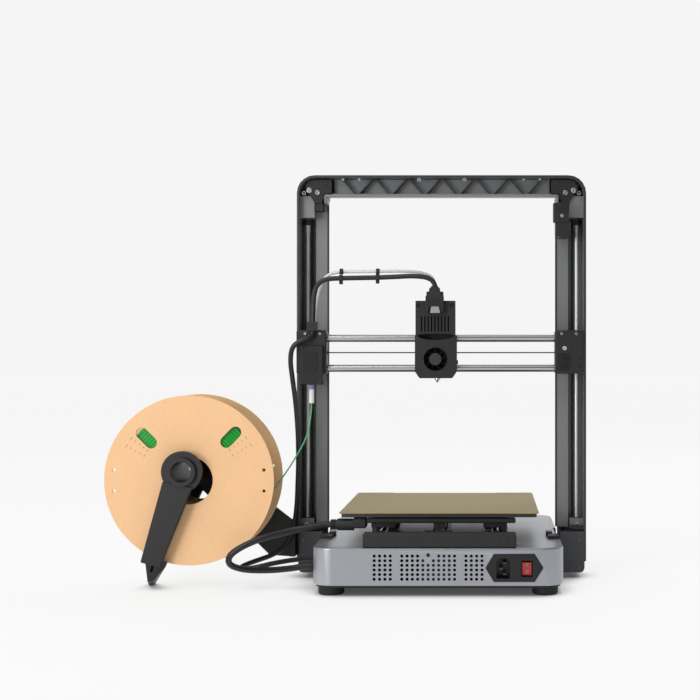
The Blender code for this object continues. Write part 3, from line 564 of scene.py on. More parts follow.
MATERIALS = {
    "casting": surface("casting", (0.2, 0.205, 0.21), 0.42, 0.4, 1800, 0.06, 0.05),
    # The darker casting is painted shade: the portal's dark rim and outer skin, and the shadows on the beam's
    # ribs.
    "casting_painted_shade": surface("casting_painted_shade", (0.035, 0.036, 0.038), 0.4, 0.3, 1800, 0.04, 0.05),
    "deck": surface("deck", (0.35, 0.362, 0.39), 0.33, 0.8, 3200, 0.02, 0.02, wear=0.2),
    "black": surface("black", (0.014, 0.014, 0.0145), 0.46, 0, 1600, 0.05, 0.08, sheen=0.36),
    "black_gloss": surface("black_gloss", (0.009, 0.009, 0.0095), 0.3, 0, 2600, 0.015, 0.05, sheen=0.36),
    "dark_steel": surface("dark_steel", (0.032, 0.033, 0.036), 0.45, 0.3, 2200, 0.05, 0.08, wear=0.3),
    "grey_steel": surface("grey_steel", (0.085, 0.086, 0.09), 0.4, 0.4, 2200, 0.05, 0.08),
    "rubber": surface("rubber", (0.012, 0.012, 0.0125), 0.66, 0, 900, 0.08, 0.1, sheen=0.4),
    "cable": surface("cable", (0.009, 0.009, 0.0095), 0.36, 0, 700, 0.05, 0.08, sheen=0.45),
    "belt": surface("belt", (0.02, 0.02, 0.021), 0.66, 0, 3000, 0.04, 0.1),
    # The X rods are painted darker on their lower sides: painted shade for dark reflections.
    "rod_x": brushed("rod_x", (0.5, 0.5, 0.505), 0.22, (8, 900, 900), painted_lower_shade=0.3),
    "rod_y": brushed("rod_y", (0.62, 0.62, 0.63), 0.2, (900, 8, 900)),
    "rod_z": brushed("rod_z", (0.56, 0.56, 0.57), 0.42, (900, 900, 8)),
    # Near-black with little sheen: on the sheet behind the head's slots it is painted shade for the head's
    # dark inside; the fan blades and the recessed head screws wear it too.
    "black_and_painted_shade": surface("black_and_painted_shade", (0.004, 0.004, 0.004), 0.8, 0, 1600, 0.05, 0.05, sheen=0.1),
    "steel": brushed("steel", (0.62, 0.62, 0.63), 0.28, (700, 700, 700)),
    "aluminium": brushed("aluminium", (0.66, 0.66, 0.68), 0.34, (60, 900, 900)),
    "screw": brushed("screw", (0.42, 0.42, 0.43), 0.3, (900, 900, 900)),
    "plate": coated_plate("plate", (0.292, 0.222, 0.072)),
    "card_face": cardboard("card_face", (0.87, 0.53, 0.275), True),
    "card_edge": cardboard("card_edge", (0.62, 0.40, 0.19), False),
    "ink": surface("ink", (0.34, 0.2, 0.11), 0.7, 0, 2000, 0.01, 0.1),
    # The green on the spool gets painted rings of shade and highlight.
    "green": filament("green", (0.002, 0.36, 0.028), painted_layer_shade=True),
    "pale_green": filament("pale_green", (0.10, 0.42, 0.20)),
    "red": surface("red", (0.33, 0.012, 0.012), 0.3, 0, 2600, 0.01, 0.05, coat=0.3),
    "white": surface("white", (0.78, 0.78, 0.78), 0.4, 0, 2400, 0.02, 0.03),
    "grey": surface("grey", (0.30, 0.30, 0.31), 0.42, 0, 2400, 0.03, 0.04),
    "violet": surface("violet", (0.26, 0.22, 0.46), 0.35, 0, 2400, 0.02, 0.05),
    "tube": translucent("tube", (0.86, 0.87, 0.88), 0.25),
    "board": circuit("board"),
    "screen": glossy_screen("screen"),
}


# ---- cords ----
def smooth_route(points, spacing):
    """Points at an even spacing along a Catmull-Rom curve through the route's points."""
    places = [Vector(p) for p in points]
    places = [2 * places[0] - places[1]] + places + [2 * places[-1] - places[-2]]
    fine = []
    for i in range(1, len(places) - 2):
        a, b, c, d = places[i - 1: i + 3]
        for step in range(16):
            t = step / 16
            curve = 2 * b + (c - a) * t + (2 * a - 5 * b + 4 * c - d) * t**2 + (3 * b - a - 3 * c + d) * t**3
            fine.append(0.5 * curve)
    fine.append(places[-2])
    travelled = [0.0]
    for first, second in zip(fine, fine[1:]):
        travelled.append(travelled[-1] + (second - first).length)
    count = max(2, round(travelled[-1] / spacing))
    route = []
    i = 0
    for step in range(count + 1):
        wanted = travelled[-1] * step / count
        while i < len(fine) - 2 and travelled[i + 1] < wanted:
            i += 1
        share = (wanted - travelled[i]) / (travelled[i + 1] - travelled[i])
        route.append(fine[i].lerp(fine[i + 1], min(max(share, 0), 1)))
    return route


def tube(route, radius, sides=16):
    """A closed tube with rings on a route; radius is a number or a function of the share of its length."""
    bm = bmesh.new()
    rings = []
    normal = Vector((0.3, 0.9, 0.2))
    for i, centre in enumerate(route):
        heading = (route[min(i + 1, len(route) - 1)] - route[max(i - 1, 0)]).normalized()
        normal = (normal - heading * normal.dot(heading)).normalized()
        other = heading.cross(normal)
        size = radius(i / (len(route) - 1)) if callable(radius) else radius
        ring = []
        for k in range(sides):
            angle = 2 * math.pi * k / sides
            ring.append(bm.verts.new(centre + (normal * math.cos(angle) + other * math.sin(angle)) * size))
        rings.append(ring)
    bridge(bm, rings)
    bm.faces.new(rings[0])
    bm.faces.new(reversed(rings[-1]))
    return bm


def make_cord(name, points, diameter, finish, bodies, start, end, **facts):
    """A cord as a tube along a smooth route through its points, in place of its CAD tube."""
    route = smooth_route(points, diameter * 0.6)
    piece = model(f"{name}_cord", None, [(tube(route, diameter / 2), finish)], bevel=0)
    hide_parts(name)
    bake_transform(piece)
    return route


ARCH = (("x_gantry", "toolhead"), (-146, -62, 365), (-12, -64, 365))


def make_cords():
    bodies, start, end = ARCH
    arch = make_cord(
        "head_cable", HEAD_CABLE, 6.0, "cable", bodies, start, end, length=0.198, stiffness="limp",
    )
    make_cord("feed_tube", FEED_TUBE, 4.0, "tube", bodies, start, end, length=0.249, stiffness="medium")
    make_cord(
        "harness", HARNESS, 6.0, "cable", ("frame", "x_gantry"), (-178, -55, 62), (-178, -55, 284),
        length=0.44, stiffness="limp",
    )
    make_cord(
        "bed_cable", BED_CABLE, 7.5, "cable", ("frame", "bed"), (-200, -115, 56), (-200, -115, 75),
        length=0.239, stiffness="limp",
    )
    make_cord(
        "filament_strand", STRAND, 1.75, "pale_green", ("frame", "x_gantry"), (-190, -60, 80),
        (-190, -60, 214), length=0.162, stiffness="medium", lay="taut",
    )
    for x in (-121, -76.5):
        make_clip(arch, x)


def make_clip(arch, x):
    """A clip that holds the white tube above the head cable."""
    near = min(arch, key=lambda point: abs(point.x - x) + (0 if point.z > 360 else 99))
    wide = 2.1
    high = 378.5
    ring = rectangle((near.y - 4.6, near.y + 4.6), (near.z - 4.4, near.z + 4.2), 3.2)
    upper = rectangle((near.y + 1.6, near.y + 8.4), (high - 4.6, high + 2.6), 2.2)
    shapes = [
        (prism(ring, "x", x - wide, x + wide), "black"),
        (prism(upper, "x", x - wide, x + wide), "black"),
        (box((x - wide, x + wide), (near.y - 1.4, near.y + 4), (near.z - 7.2, near.z - 3)), "black"),
    ]
    clip = model(f"cable_clip_{round(-x)}", None, shapes, bevel=0.4)
    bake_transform(clip)


# ---- belts ----
def span(sign, low, high):
    """An X range on one side of the middle."""
    return tuple(sorted((sign * low, sign * high)))


def evenly(outline, pitch):
    """Even steps round a closed outline, and the outward normal at each."""
    loop = np.array([*outline, outline[0]], float)
    travelled = np.concatenate([[0], np.cumsum(np.linalg.norm(np.diff(loop, axis=0), axis=1))])
    steps = np.linspace(0, travelled[-1], round(travelled[-1] / pitch), endpoint=False)
    places = np.column_stack([np.interp(steps, travelled, loop[:, k]) for k in (0, 1)])
    heading = np.roll(places, -1, axis=0) - np.roll(places, 1, axis=0)
    heading /= np.linalg.norm(heading, axis=1)[:, None]
    ahead = np.roll(places, -1, axis=0)
    area = np.sum(places[:, 0] * ahead[:, 1] - ahead[:, 0] * places[:, 1])
    normals = np.column_stack([heading[:, 1], -heading[:, 0]]) * np.sign(area)
    return places, heading, normals


def toothed_belt(outline, axis, low, high):
    """A 2 mm pitch belt round a closed outline, with its teeth inside."""
    places, heading, normals = evenly(outline, 2.0)
    bm = bmesh.new()
    rings = []
    for place, normal in zip(places, normals):
        outer, inner = place + normal * 0.7, place - normal * 0.05
        corners = ((outer, low), (outer, high), (inner, high), (inner, low))
        rings.append([bm.verts.new(along(axis, *spot, distance)) for spot, distance in corners])
    bridge(bm, rings + rings[:1])
    for place, ahead, normal in zip(places, heading, normals):
        root, tip = place + normal * 0.1, place - normal * 0.62
        tooth = [root - ahead * 0.6, root + ahead * 0.6, tip + ahead * 0.4, tip - ahead * 0.4]
        prism([tuple(corner) for corner in tooth], axis, low + 0.1, high - 0.1, bm)
    return bm


def toothed_wheel(axis, centre, radius, bore, low, high, teeth):
    """A belt pulley: teeth on a drum with a bore."""
    body = hoop(axis, centre, bore, radius - 0.75, low, high, 32)
    for i in range(teeth):
        angle = 2 * math.pi * i / teeth
        across, up = math.cos(angle), math.sin(angle)
        root, tip = radius - 0.9, radius
        tooth = [
            (centre[0] + root * across - 0.42 * up, centre[1] + root * up + 0.42 * across),
            (centre[0] + root * across + 0.42 * up, centre[1] + root * up - 0.42 * across),
            (centre[0] + tip * across + 0.28 * up, centre[1] + tip * up - 0.28 * across),
            (centre[0] + tip * across - 0.28 * up, centre[1] + tip * up + 0.28 * across),
        ]
        prism(tooth, axis, low + 0.1, high - 0.1, body)
    return body


# ---- base ----
def vent_holes():
    columns = [-72.1 + 6.1 * i for i in range(4)] + [-40.7 + 6.01 * i for i in range(11)]
    columns += [32.4 + 6.07 * i for i in range(4)]
    holes = []
    for row in range(6):
        z = 46.4 - 5.26 * row
        for x in columns:
            from_middle = abs(x + 10.65)
            if not (row == 0 and from_middle < 8 or row == 1 and from_middle < 3):
                holes.append(cylinder("y", (x, z), 1.8, REAR - 3, REAR + 4, 14))
    return holes


def make_base():
    dress("base_cover", "deck", 0.5, vent_holes())
    dress("base_plate", "black", 0.6)
    dress("power_supply", "dark_steel", 0.6)
    dress("mainboard", "board", 0)
    model("cover_screw", "frame", [rear_screw((-10.7, 47.5), REAR, 2.2, 0.4, "black_gloss")], bevel=0.1)
    for end, y in (("rear", -138), ("front", 138)):
        for side, x in (("left", -123.5), ("right", 123.5)):
            profile = [(0, 0), (13.4, 0), (14.6, 0.9), (15, 2.4)]
            foot = turned("z", (x, y), profile + [(15, 9.3), (0, 9.3)], 40)
            model(f"{end}_{side}_foot", "frame", [(foot, "rubber")], [f"foot_{end}_{side}"], 0.3)
    for name, y, z, inner in (("harness", -82, 32, 3.1), ("bed_cable", -99, 26, 3.8)):
        outer = inner + 2.3
        profile = [
            (inner, -147.1), (outer, -147.1), (outer, -149), (outer - 0.6, -149.4), (outer - 0.6, -150.6),
            (outer - 0.9, -151), (outer - 0.9, -152.2), (outer - 1.3, -152.6), (outer - 1.3, -154),
            (inner, -154),
        ]
        boot = turned("x", (y, z), profile, 24, closed=True)
        model(f"{name}_boot", "frame", [(boot, "rubber")], bevel=0.15)


def make_inlet():
    dress("inlet_panel", "black_gloss", 0.5)
    shapes = [(box((74.6, 78.4), (-160.5, -145), (z - 1, z + 1)), "dark_steel") for z in (25.8, 38.2)]
    shapes.append((box((70.6, 74.4), (-161.3, -145), (31, 33)), "dark_steel"))
    shapes += [rear_screw((x, 33.2), -162.5, 2.6, 0.3, "rubber") for x in (59.1, 116.5)]
    model("inlet_fittings", "frame", shapes, bevel=0.15)
    dress("power_rocker", "red", 0.35)
    section = ((-161.3, 35), (-162, 38.2), (-160.9, 35), (-161, 38.2))
    bar = hull([(x, y, z) for x in (101.5, 102.1) for y, z in section])
    marks = [(hoop("y", (101.8, 28.6), 1.1, 1.6, -161.6, -160.8), "grey"), (bar, "grey")]
    model("rocker_marks", "power_switch", marks, bevel=0)


def make_screen():
    dress("touchscreen", "black", 0.6)
    glass = [(prism(rectangle((-114.5, -45.5), (21, 49), 2), "y", 162.3, 162.8), "screen")]
    model("screen_glass", "frame", glass, bevel=0.2)


# ---- bed ----
def make_y_axis():
    dress("rear_housing", "black", 0.6)
    dress("y_motor", "dark_steel", 0.6)
    dress("y_rod_left", "rod_y", 0.5)
    dress("y_rod_right", "rod_y", 0.5)
    wheel = toothed_wheel("z", (0, -137), 6.1, 2.8, 60.5, 69.2, 20)
    model("bed_drive_pulley", "bed_pulley", [(wheel, "aluminium")], ["y_pulley"], 0)
    loop = rectangle((-6.9, 6.9), (-143.9, 143.9), 6.8, 10)
    model("bed_toothed_belt", "frame", [(toothed_belt(loop, "z", 62, 68), "belt")], ["y_belt"], 0)
    shapes = [rear_screw((76, 63.6), -160, 1.6, 0.5, "dark_steel")]
    shapes += [(fastener("z", (x, -150), 71.4, 1, 2.0, 0.6), "dark_steel") for x in (-76, -56, 56, 80)]
    for sign in (-1, 1):
        shapes.append((box(span(sign, 128.5, 135.8), (-60, -44), (DECK, 60.4)), "black"))
        shapes.append((box(span(sign, 129.6, 143.4), (-83, -60.2), (DECK, 58.8)), "black"))
    model("deck_fittings", "frame", shapes, bevel=0.3)


def make_bed():
    dress("bed_carriage", "black", 0.5)
    dress("heated_bed", "dark_steel", 0.4)
    notches = [box((x, x + 10), (-118, -116.6), (88, 92)) for x in (-73, 53.5)]
    dress("build_plate", "plate", 0.25, notches)
    dress("bed_plug", "black", 0.5)
    shapes = [(box((-6.6, 7.5), (-113, -104), (70.4, 78.4)), "black")]
    shapes += [rear_screw((x, 74.5), -113, 1.2, 0.6, "dark_steel") for x in (-3.5, 4.4)]
    for x in (-76, 76):
        for y in (-90, 96):
            shapes.append((cylinder("z", (x, y), 7.2, 59.5, 63.5, 32), "black"))
            shapes.append((cylinder("z", (x, y), 2.0, 58, 84.4, 16), "dark_steel"))
            shapes.append((cylinder("z", (x, y), 4.6, 63.2, 72, 20), "dark_steel"))
    model("bed_fittings", "bed", shapes, bevel=0.3)
    ribs = [
        (hoop("x", (-110, 76), 5.5, 6.3, -122.6 - 1.4 * i, -121.8 - 1.4 * i), "rubber") for i in range(4)
    ]
    model("plug_ribs", "bed", ribs, bevel=0.15)


# ---- portal ----
def paint_portal_shade(portal):
    """The portal's outer skin, its rim and the beam's ribs are painted darker than the inside: painted shade
    for the dark rim and skin, and painted shadow on the ribs.
    """
    portal.data.materials.append(MATERIALS["casting_painted_shade"])
    radius, wall = 22.0, 3.2
    for face in portal.data.polygons:
        across = abs(face.center.x - MIDDLE_X) * 1000 - (PORTAL_SIDE - radius)
        up = face.center.z * 1000 - (PORTAL_TOP - radius)
        depth = radius - math.hypot(max(across, 0), max(up, 0)) - min(max(across, up), 0)
        in_beam = across < -20 and 0.0 < up < 19
        if depth < wall and (abs(face.normal.y) > 0.5 or depth < 1.5) or face.center.y > 0.0155:
            face.material_index = 1
        if in_beam and face.center.y > 0 and face.normal.y < -0.5:
            face.material_index = 0
        # The ribs' sides and the beam's rear rim take the darker casting: painted shadow and painted shade.
        if in_beam and (abs(face.normal.x) > 0.3 or face.center.y < -0.022 and face.normal.y < -0.5):
            face.material_index = 1


def make_portal():
    dress("portal_frame", "casting", 0.7)
    paint_portal_shade(NODES["portal_frame"])
    shapes = []
    for sign in (-1, 1):
        shapes.append(rear_screw((sign * 164.2, 480.6), PORTAL_FACE, 3.4, 1.2))
        shapes.append(rear_screw((sign * 154, 477.6), PORTAL_FACE, 3.3, 1.6))
        shapes.append((hoop("y", (sign * 170.6, 476.8), 1.3, 2.5, -27.6, -29.4), "screw"))
        # A thin dark strip along the inner edge of each leg's floor, in the darker casting: painted shade for
        # the dark line along that edge.
        edge = span(sign, 142.1, 144.4)
        shapes.append((box(edge, (DUCT_FACE - 0.9, DUCT_FACE + 0.4), (62, 470)), "casting_painted_shade"))
        shapes.append(rear_screw((sign * 144, 489), PORTAL_FACE, 2.3, 1.2, "dark_steel"))
    for x, radius in ((-122, 1.8), (-102, 1.8), (-27.6, 2.6), (28.6, 2.6), (102, 1.8), (122, 1.8)):
        shapes.append(rear_screw((x, 493.6), -29.6, radius, 1.0))
    shapes.append((box((-134.5, 134.5), (-15.5, -14.5), (476.5, 495.4)), "casting"))
    model("portal_fittings", "frame", shapes, bevel=0.1)
    for side, sign in (("left", -1), ("right", 1)):
        dress(f"z_rod_{side}", "rod_z", 0.4)
        dress(f"corner_bracket_{side}", "black", 0.6)
        dress(f"xz_motor_{side}", "dark_steel", 0.8)
        dress(f"motor_cover_{side}", "dark_steel", 0.5)
        model(f"rod_cap_{side}", "frame", [(hoop("z", (sign * 169.2, -5), 4.3, 5.6, 439, 446), "black")])
        make_belt_drive(side, sign)
        spots = ((170.6, 47.4, 2.4), (170.6, 14.3, 2.4), (156.5, 30.6, 1.2), (151, 53, 1.4))
        shapes = [rear_screw((sign * x, z), COVER_FACE, radius, 0.8, "grey_steel") for x, z, radius in spots]
        shapes.append((hoop("y", (sign * 169.4, 64), 1.3, 3.0, -14.1, -16.4), "screw"))
        shapes.append((box(span(sign, 160.5, 176.5), (-31.5, -14), (60, 63)), "black"))
        model(f"motor_cover_fittings_{side}", "frame", shapes, bevel=0.15)
    dress("limit_block", "black", 0.5)
    shapes = [rear_screw((148.6, 447), -46, 2.2, 0.8)]
    shapes += [(box((139.4, 155.2), (-46.7, -45.8), (z, z + 1.2)), "black") for z in (452.5, 455.5, 458.5)]
    model("limit_fittings", "frame", shapes, bevel=0.2)


def make_belt_drive(side, sign):
    low, high = {"left": (2.0, 7.0), "right": (7.4, 12.4)}[side]
    pulley = toothed_wheel("y", (sign * PULLEY_X, 33.5), 5.0, 2.8, low, high, 16)
    model(f"{side}_drive_pulley", f"{side}_pulley", [(pulley, "aluminium")], [f"xz_pulley_{side}"], 0)
    top = (sign * PULLEY_X, 486)
    shapes = [(hoop("y", top, 1.8, 4.9, low, high, 32), "steel")]
    for angle in (0, 2.1, 4.2):
        spot = (top[0] + 3.3 * math.cos(angle), top[1] + 3.3 * math.sin(angle))
        shapes.append((cylinder("y", spot, 0.7, low - 0.3, low + 0.4, 10), "dark_steel"))
    model(f"{side}_top_wheel", f"{side}_idler", shapes, [f"top_idler_{side}"], 0.2)
    outer, inner, bottom, far = 164.2, 152.6, 27.7, -150
    corners = [(outer, bottom), (outer, 491.8), (far, 487.2), (far, 478.2), (inner, 480.2), (inner, bottom)]
    path = rounded([(sign * x, z) for x, z in corners], [5.8, 5.8, 4.4, 4.4, 5.8, 5.8], 6)
    belt = toothed_belt(path, "y", low, high)
    model(f"{side}_toothed_belt", "frame", [(belt, "belt")], [f"xz_belt_{side}"], 0)


# ---- X gantry ----
def make_gantry():
    for side in ("left", "right"):
        dress(f"x_block_{side}", "black", 0.6)
    for place in ("top", "bottom"):
        dress(f"x_rod_{place}", "rod_x", 0.4)
    dress("x_belt", "belt", 0.1)
    dress("filament_sensor", "rubber", 0.5)
    shapes = [rear_screw((x, 301.7), BLOCK_FACE, 1.8, 1.3) for x in (-165.3, -147.4, 147.4, 165.3)]
    shapes.append(rear_screw((151.1, 284.2), BLOCK_FACE, 2.8, 1.6, "steel"))
    shapes += [rear_screw((x, z), BLOCK_FACE, 1.9, 0.8) for x in (152, 170) for z in (271, 262)]
    shapes.append((prism(rectangle((142.5, 157), (257, 277.5), 1.6), "y", -58.8, -57.6), "black_gloss"))
    shapes.append((prism(rectangle((161, 174), (257, 302), 1.6), "y", -58.8, -57.6), "black"))
    model("block_fittings", "x_gantry", shapes, bevel=0.15)
    spots = [(x, z) for x in (-169, -146.5) for z in (243, 284)]
    shapes = [rear_screw(spot, SENSOR_FACE, 1.7, 0.8, "dark_steel") for spot in spots]
    shapes.append((prism(rectangle((-166, -150), (255, 279), 2), "y", -63.1, -62.2), "black_gloss"))
    sleeve = [(1.1, 216.8), (2.9, 216.8), (3.1, 218), (3.1, 233.6), (2.7, 234), (1.1, 234)]
    shapes.append((turned("z", (-158, -52), sleeve, 24, closed=True), "white"))
    shapes.append((hoop("z", (-158, -52), 2.65, 3.3, 234, 239.6), "violet"))
    model("sensor_fittings", "x_gantry", shapes, bevel=0.15)


# ---- print head ----
def make_head():
    slots = [slot_outline((-22.6 + 4.04 * i, 304.6), (-22.6 + 4.04 * i, 321.8), 0.8) for i in range(9)]
    cuts = [prism(outline, "y", -80, -70.5) for outline in slots]
    cuts += [cylinder("y", spot, 2.4, -80, -72.6, 20) for spot in HEAD_SCREWS]
    scoop = [(-28.4, 299.2)]
    scoop += [(-5.4 + 23 * math.cos(a), 299.2 + 2.4 * math.sin(a)) for a in np.linspace(2.8, 0.34, 9)]
    scoop += [(17.4, 299.2)]
    scoop += [(-5.4 + 22 * math.cos(a), 299.2 + 5.4 * math.sin(a)) for a in np.linspace(-0.3, -2.84, 11)]
    cuts.append(prism(scoop, "y", -80, -71))
    dress("head_housing", "black", 0.6, cuts)
    dress("head_carriage", "black", 0.5)
    vents = [prism(slot_outline((-24, z), (13, z), 1.1), "y", 5, 14) for z in (268, 273, 278, 283, 288)]
    dress("head_cover", "black", 0.8, vents)
    dress("extruder_motor", "dark_steel", 0.5)
    dress("drive_gear", "steel", 0.1)
    shapes = [rear_screw(spot, -72.3, 2.3, 0.3, "black_and_painted_shade") for spot in HEAD_SCREWS]
    rim = [(14.0, -74.8), (14.9, -74.8), (14.9, -75.7), (14.5, -76), (14.0, -76)]
    shapes.append((turned("y", FAN, rim, 48, closed=True), "black"))
    for angle in (0.5, 2.6, 4.7):
        start, end = (
            (FAN[0] + radius * math.cos(angle), FAN[1] + radius * math.sin(angle)) for radius in (8.4, 13.8)
        )
        shapes.append((prism(slot_outline(start, end, 0.8), "y", -61.8, -60.4), "black"))
    shapes.append((box((19.4, 21.2), (-66, -60), (264.5, 269.5)), "black"))
    # A near-black sheet just behind the slots: painted shade for the dark inside of the head.
    shapes.append((box((-25.5, 13), (-71.4, -71.2), (302, 324)), "black_and_painted_shade"))
    model("head_fittings", "toolhead", shapes, bevel=0.2)
    make_plug()
    make_fan()
    make_hotend()


def make_plug():
    """The cable's plug: a shouldered hood over a collar, with a pale latch between two arms."""
    hood = [
        (-17.5, 334), (-17.5, 346), (-13.6, 350.5), (-12.6, 356.5),
        (-0.4, 356.5), (0.6, 350.5), (4.5, 346), (4.5, 334),
    ]
    hollow = [(-12.9, 336.6), (-0.2, 336.6), (1.2, 325), (-14.3, 325)]
    arms = [[(-17.5, 334.2), (-12.9, 334.2), (-14.4, 327.6), (-16.2, 326.4)]]
    arms.append([(4.5, 334.2), (3.2, 326.4), (1.4, 327.6), (-0.1, 334.2)])
    shapes = [
        (prism(hood, "y", -82, HEAD_FACE), "black"),
        (box((-16.6, 3.6), (-83, HEAD_FACE), (336.8, 343)), "black"),
        (prism(hollow, "y", -77.6, HEAD_FACE), "black_gloss"),
        (prism([(-10.2, 336.4), (-2, 336.4), (0.1, 326.2), (-11.9, 326.2)], "y", -81.2, -77), "grey"),
        (box((-16.5, 3.5), (-78, -56), (341.5, 352)), "black"),
        (turned("z", (-7, -66), [(0, 351), (6.2, 351), (5.4, 356.5), (4, 359.5), (0, 359.5)], 24), "rubber"),
    ]
    shapes += [(prism(arm, "y", -82, HEAD_FACE), "black") for arm in arms]
    for x in np.arange(-14, 1, 2.2):
        shapes.append((box((x, x + 0.5), (-83.4, -82.8), (337.4, 342.4)), "black_gloss"))
    model("cable_plug", "toolhead", shapes, ["head_plug"], 0.5)


def make_fan():
    hub = [(0, -62), (7.8, -62), (7.8, -72), (7.2, -72.8), (0, -72.8)]
    shapes = [(turned("y", FAN, hub, 40), "dark_steel")]
    for i in range(9):
        points = []
        for radius, lag in ((7.5, 0.0), (10.2, 0.1), (12.9, 0.28)):
            for y, turn in ((-71.4, 0.0), (-63.2, 0.42)):
                angle = 2 * math.pi * i / 9 + turn + lag
                for offset in (-0.05, 0.05):
                    across = FAN[0] + radius * math.cos(angle + offset)
                    points.append((across, y, FAN[1] + radius * math.sin(angle + offset)))
        shapes.append((hull(points), "black_and_painted_shade"))
    model("fan_rotor", "fan", shapes, ["head_fan"], 0.15)


def make_hotend():
    tip = 241.6
    nozzle = [(0, tip), (0.9, tip), (3.1, tip + 3.2), (3.1, tip + 4), (4.0, tip + 4), (4.0, tip + 7)]
    nozzle.append((0, tip + 7))
    sink = [(0, 257.8), (2.0, 257.8), (2.0, 262)]
    for i in range(6):
        low = 262 + 5 * i
        sink += [(8, low), (8, low + 2), (4, low + 2), (4, low + 5)]
    sink += [(4, 306), (0, 306)]
    shapes = [
        (turned("z", HOTEND, nozzle, 24), "steel"),
        (turned("z", HOTEND, sink, 32), "aluminium"),
        (box((-16, 1), (-14, -2), (248.4, 258)), "rubber"),
        (cylinder("y", (-12.5, 253), 1.6, -15.5, -13.5, 16), "steel"),
        (cylinder("y", (-2.5, 253), 1.1, -15, -13.5, 16), "white"),
    ]
    model("hotend_assembly", "toolhead", shapes, ["hotend"], 0.2)


# ---- spool ----
def around_spool(radius, degrees):
    angle = math.radians(degrees)
    return (SPOOL[0] + radius * math.cos(angle), SPOOL[1] + radius * math.sin(angle))


def flange_cuts(low, high):
    """Two oblong windows and four rim holes."""
    shapes = []
    for degrees in (135, 46):
        window = slot_outline(around_spool(63, degrees), around_spool(78.6, degrees), 7.0, 10)
        shapes.append(prism(window, "y", low - 2, high + 2))
    for degrees in (8, -8, 172, 188):
        shapes.append(cylinder("y", around_spool(89, degrees), 2.0, low - 2, high + 2, 20))
    return shapes


def make_spool():
    near, far = SPOOL_ENDS
    for name, low, high in (("near_flange", near, near + FLANGE), ("far_flange", far - FLANGE, far)):
        disc = hoop("y", SPOOL, SPOOL_BORE, 100, low, high, 128)
        flange = model(name, "spool", [(disc, "card_face")], bevel=0)
        flange.modifiers.clear()
        soften(flange, 0.35)
        cut_away(flange, flange_cuts(low, high))
        split_edges(flange)
        flat_normals(flange)
    low, high = near + FLANGE + 0.1, far - FLANGE - 0.1
    drum = hoop("y", SPOOL, SPOOL_BORE, 38, low, high, 96)
    hub = model("spool_core", "spool", [(drum, "card_edge")], bevel=0.3)
    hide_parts("spool")
    ticks = []
    for degrees in (144, 151, 30, 37):
        for radius in (60, 66, 72, 78, 84):
            long = 2.6 if radius in (60, 84) else 1.6
            start, end = around_spool(radius, degrees - long / 2), around_spool(radius, degrees + long / 2)
            ticks.append((prism(slot_outline(start, end, 0.35, 3), "y", near - 0.06, near + 0.3), "ink"))
    model("flange_ticks", "spool", ticks, bevel=0)
    make_winding(near + FLANGE + 0.4, far - FLANGE - 0.4)


def make_winding(low, high):
    """Strands side by side on the outside, and layer on layer at both ends."""
    pitch, inner, outer = 1.75, 38.4, 82.0
    layers = round((outer - inner) / pitch)
    turns = round((high - low) / pitch)
    crown = (0.24, 0.94, 1.57, 2.2, 2.9)
    middles = [inner + (i + 0.5) * (outer - inner) / layers for i in range(layers)]
    profile = []
    for middle in middles:
        profile += [(middle + 0.87 * math.cos(a), low + 0.6 - 0.6 * math.sin(a)) for a in reversed(crown)]
    for i in range(turns):
        middle = low + (i + 0.5) * (high - low) / turns
        profile += [(outer - 0.6 + 0.6 * math.sin(a), middle - 0.87 * math.cos(a)) for a in crown]
    for middle in reversed(middles):
        profile += [(middle + 0.87 * math.cos(a), high - 0.6 + 0.6 * math.sin(a)) for a in crown]
    winding = turned("y", SPOOL, profile, 72, closed=True)
    model("filament_coil", "spool", [(winding, "green")], ["filament_winding"], 0)


def make_stand():
    dress("spool_holder", "black", 0.6)
    foot_slot = prism(slot_outline((-335.2, 23.6), (-333.6, 28.6), 1.6), "y", -130, -118)
    dress("spool_stand", "black", 0.6, [foot_slot])
    spots = ((-38, 40), (-38, 62), (2, 40), (2, 62))
    shapes = [(fastener("x", spot, -186, -1, 3.2, 2), "screw") for spot in spots]
    model("holder_screws", "frame", shapes, bevel=0.15)


# ---- light, floor and camera ----
# (height of the direction, brightness) stops, ahead of the camera and behind it
AHEAD = ((0.0, 0.915), (0.3, 0.915), (0.4, 0.4), (0.55, 0.4), (0.7, 1.0), (1.0, 1.1))
BEHIND = (
    (0.0, 0.24), (0.14, 0.24), (0.24, 0.75), (0.36, 0.75), (0.46, 0.28), (0.6, 0.28), (0.75, 1.0), (1.0, 1.1),
)
BACKDROP = 0.915


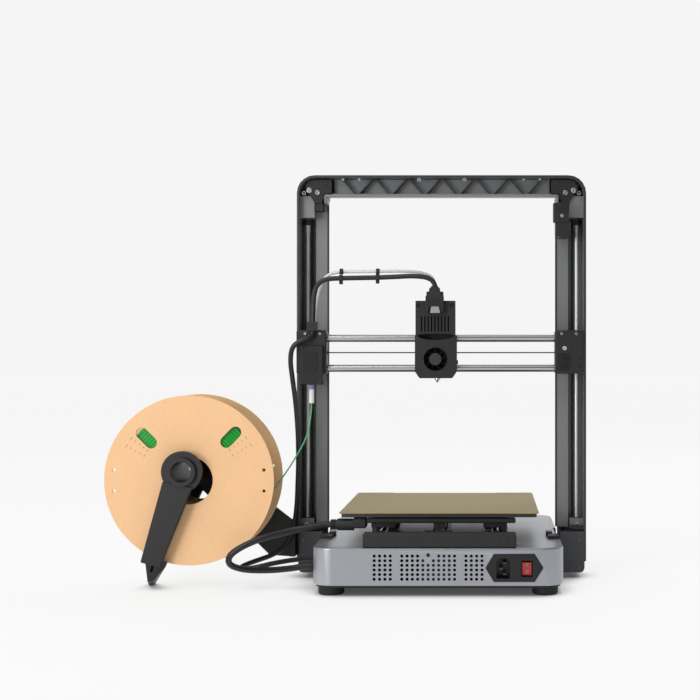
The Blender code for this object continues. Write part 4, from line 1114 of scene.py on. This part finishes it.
def make_world():
    """Soft panels with dimmer gaps that the metal reflects. Only the backdrop itself is plain."""
    world = bpy.data.worlds.new("studio")
    bpy.context.scene.world = world
    n = Nodes(world, "Background", "Generated")
    axes = n.axes(n.place)
    ahead, behind = (
        n.ramp(axes["Z"], [(height, (value,) * 3) for height, value in stops]) for stops in (AHEAD, BEHIND)
    )
    behind = n.dimmed(behind, axes["X"], (1.25, 0.4), (-0.2, 0.14))
    around = n.mixed(n.between(axes["Y"], 0, 1, -0.3, 0.2), behind, ahead)
    around = n.dimmed(around, axes["X"], (1.0, 0.4), (0.35, 0.7))
    seen = n.add("ShaderNodeLightPath").outputs["Is Camera Ray"]
    n.feed(n.shader, {"Color": n.mixed(seen, around, (BACKDROP,) * 3)})


def area_light(name, at, target, size, power):
    light = bpy.data.lights.new(name, "AREA")
    light.size = size
    light.energy = power
    lamp = placed(name, light)
    lamp.location = at
    lamp.rotation_euler = (Vector(target) - Vector(at)).to_track_quat("-Z", "Y").to_euler()


def make_stage():
    """A pale paper floor that is evenly lit but for a soft contact shadow, and three lamps."""
    n = Nodes(bpy.data.materials.new("paper_floor"))
    openness = n.add("ShaderNodeAmbientOcclusion", {"Distance": 0.045}, samples=8).outputs["AO"]
    n.feed(n.shader, {
        "Base Color": n.between(n.noise(2.0, 3), (0.148,) * 3, (0.152,) * 3),
        "Roughness": 0.9,
        "Specular IOR Level": 0.1,
        "Emission Color": (1, 1, 1),
        "Emission Strength": n.between(openness, 0.06, 0.79, 0.2, 0.75),
    })
    mesh = bpy.data.meshes.new("floor")
    corners = [(x, y, 0) for x, y in rectangle((-30, 30), (-30, 30))]
    mesh.from_pydata(corners, [], [(0, 1, 2, 3)])
    mesh.materials.append(n.owner)
    floor = placed("floor", mesh)
    area_light("key", (-1.2, -2.2, 2.4), (0, 0, 0.2), 1.4, 30)
    area_light("rim", (1.6, 1.2, 1.9), (0, 0, 0.3), 1.2, 14)
    area_light("side", (-1.15, -1.9, 0.4), (0, -0.1, 0.2), 0.6, 12)


def make_camera():
    data = bpy.data.cameras.new("camera")
    data.lens = LENS
    data.sensor_width = 36
    data.shift_x, data.shift_y = SHIFT
    data.clip_end = 100
    camera = placed("camera", data)
    camera.location = to_row(CAMERA)
    camera.rotation_euler = (math.pi / 2, 0, 0)
    bpy.context.scene.camera = camera
    bpy.context.scene.view_settings.view_transform = "Standard"


# ---- the whole printer ----
make_base()
make_inlet()
make_screen()
make_y_axis()
make_bed()
make_portal()
make_gantry()
make_head()
make_spool()
make_stand()
make_cords()
make_world()
make_stage()
make_camera()
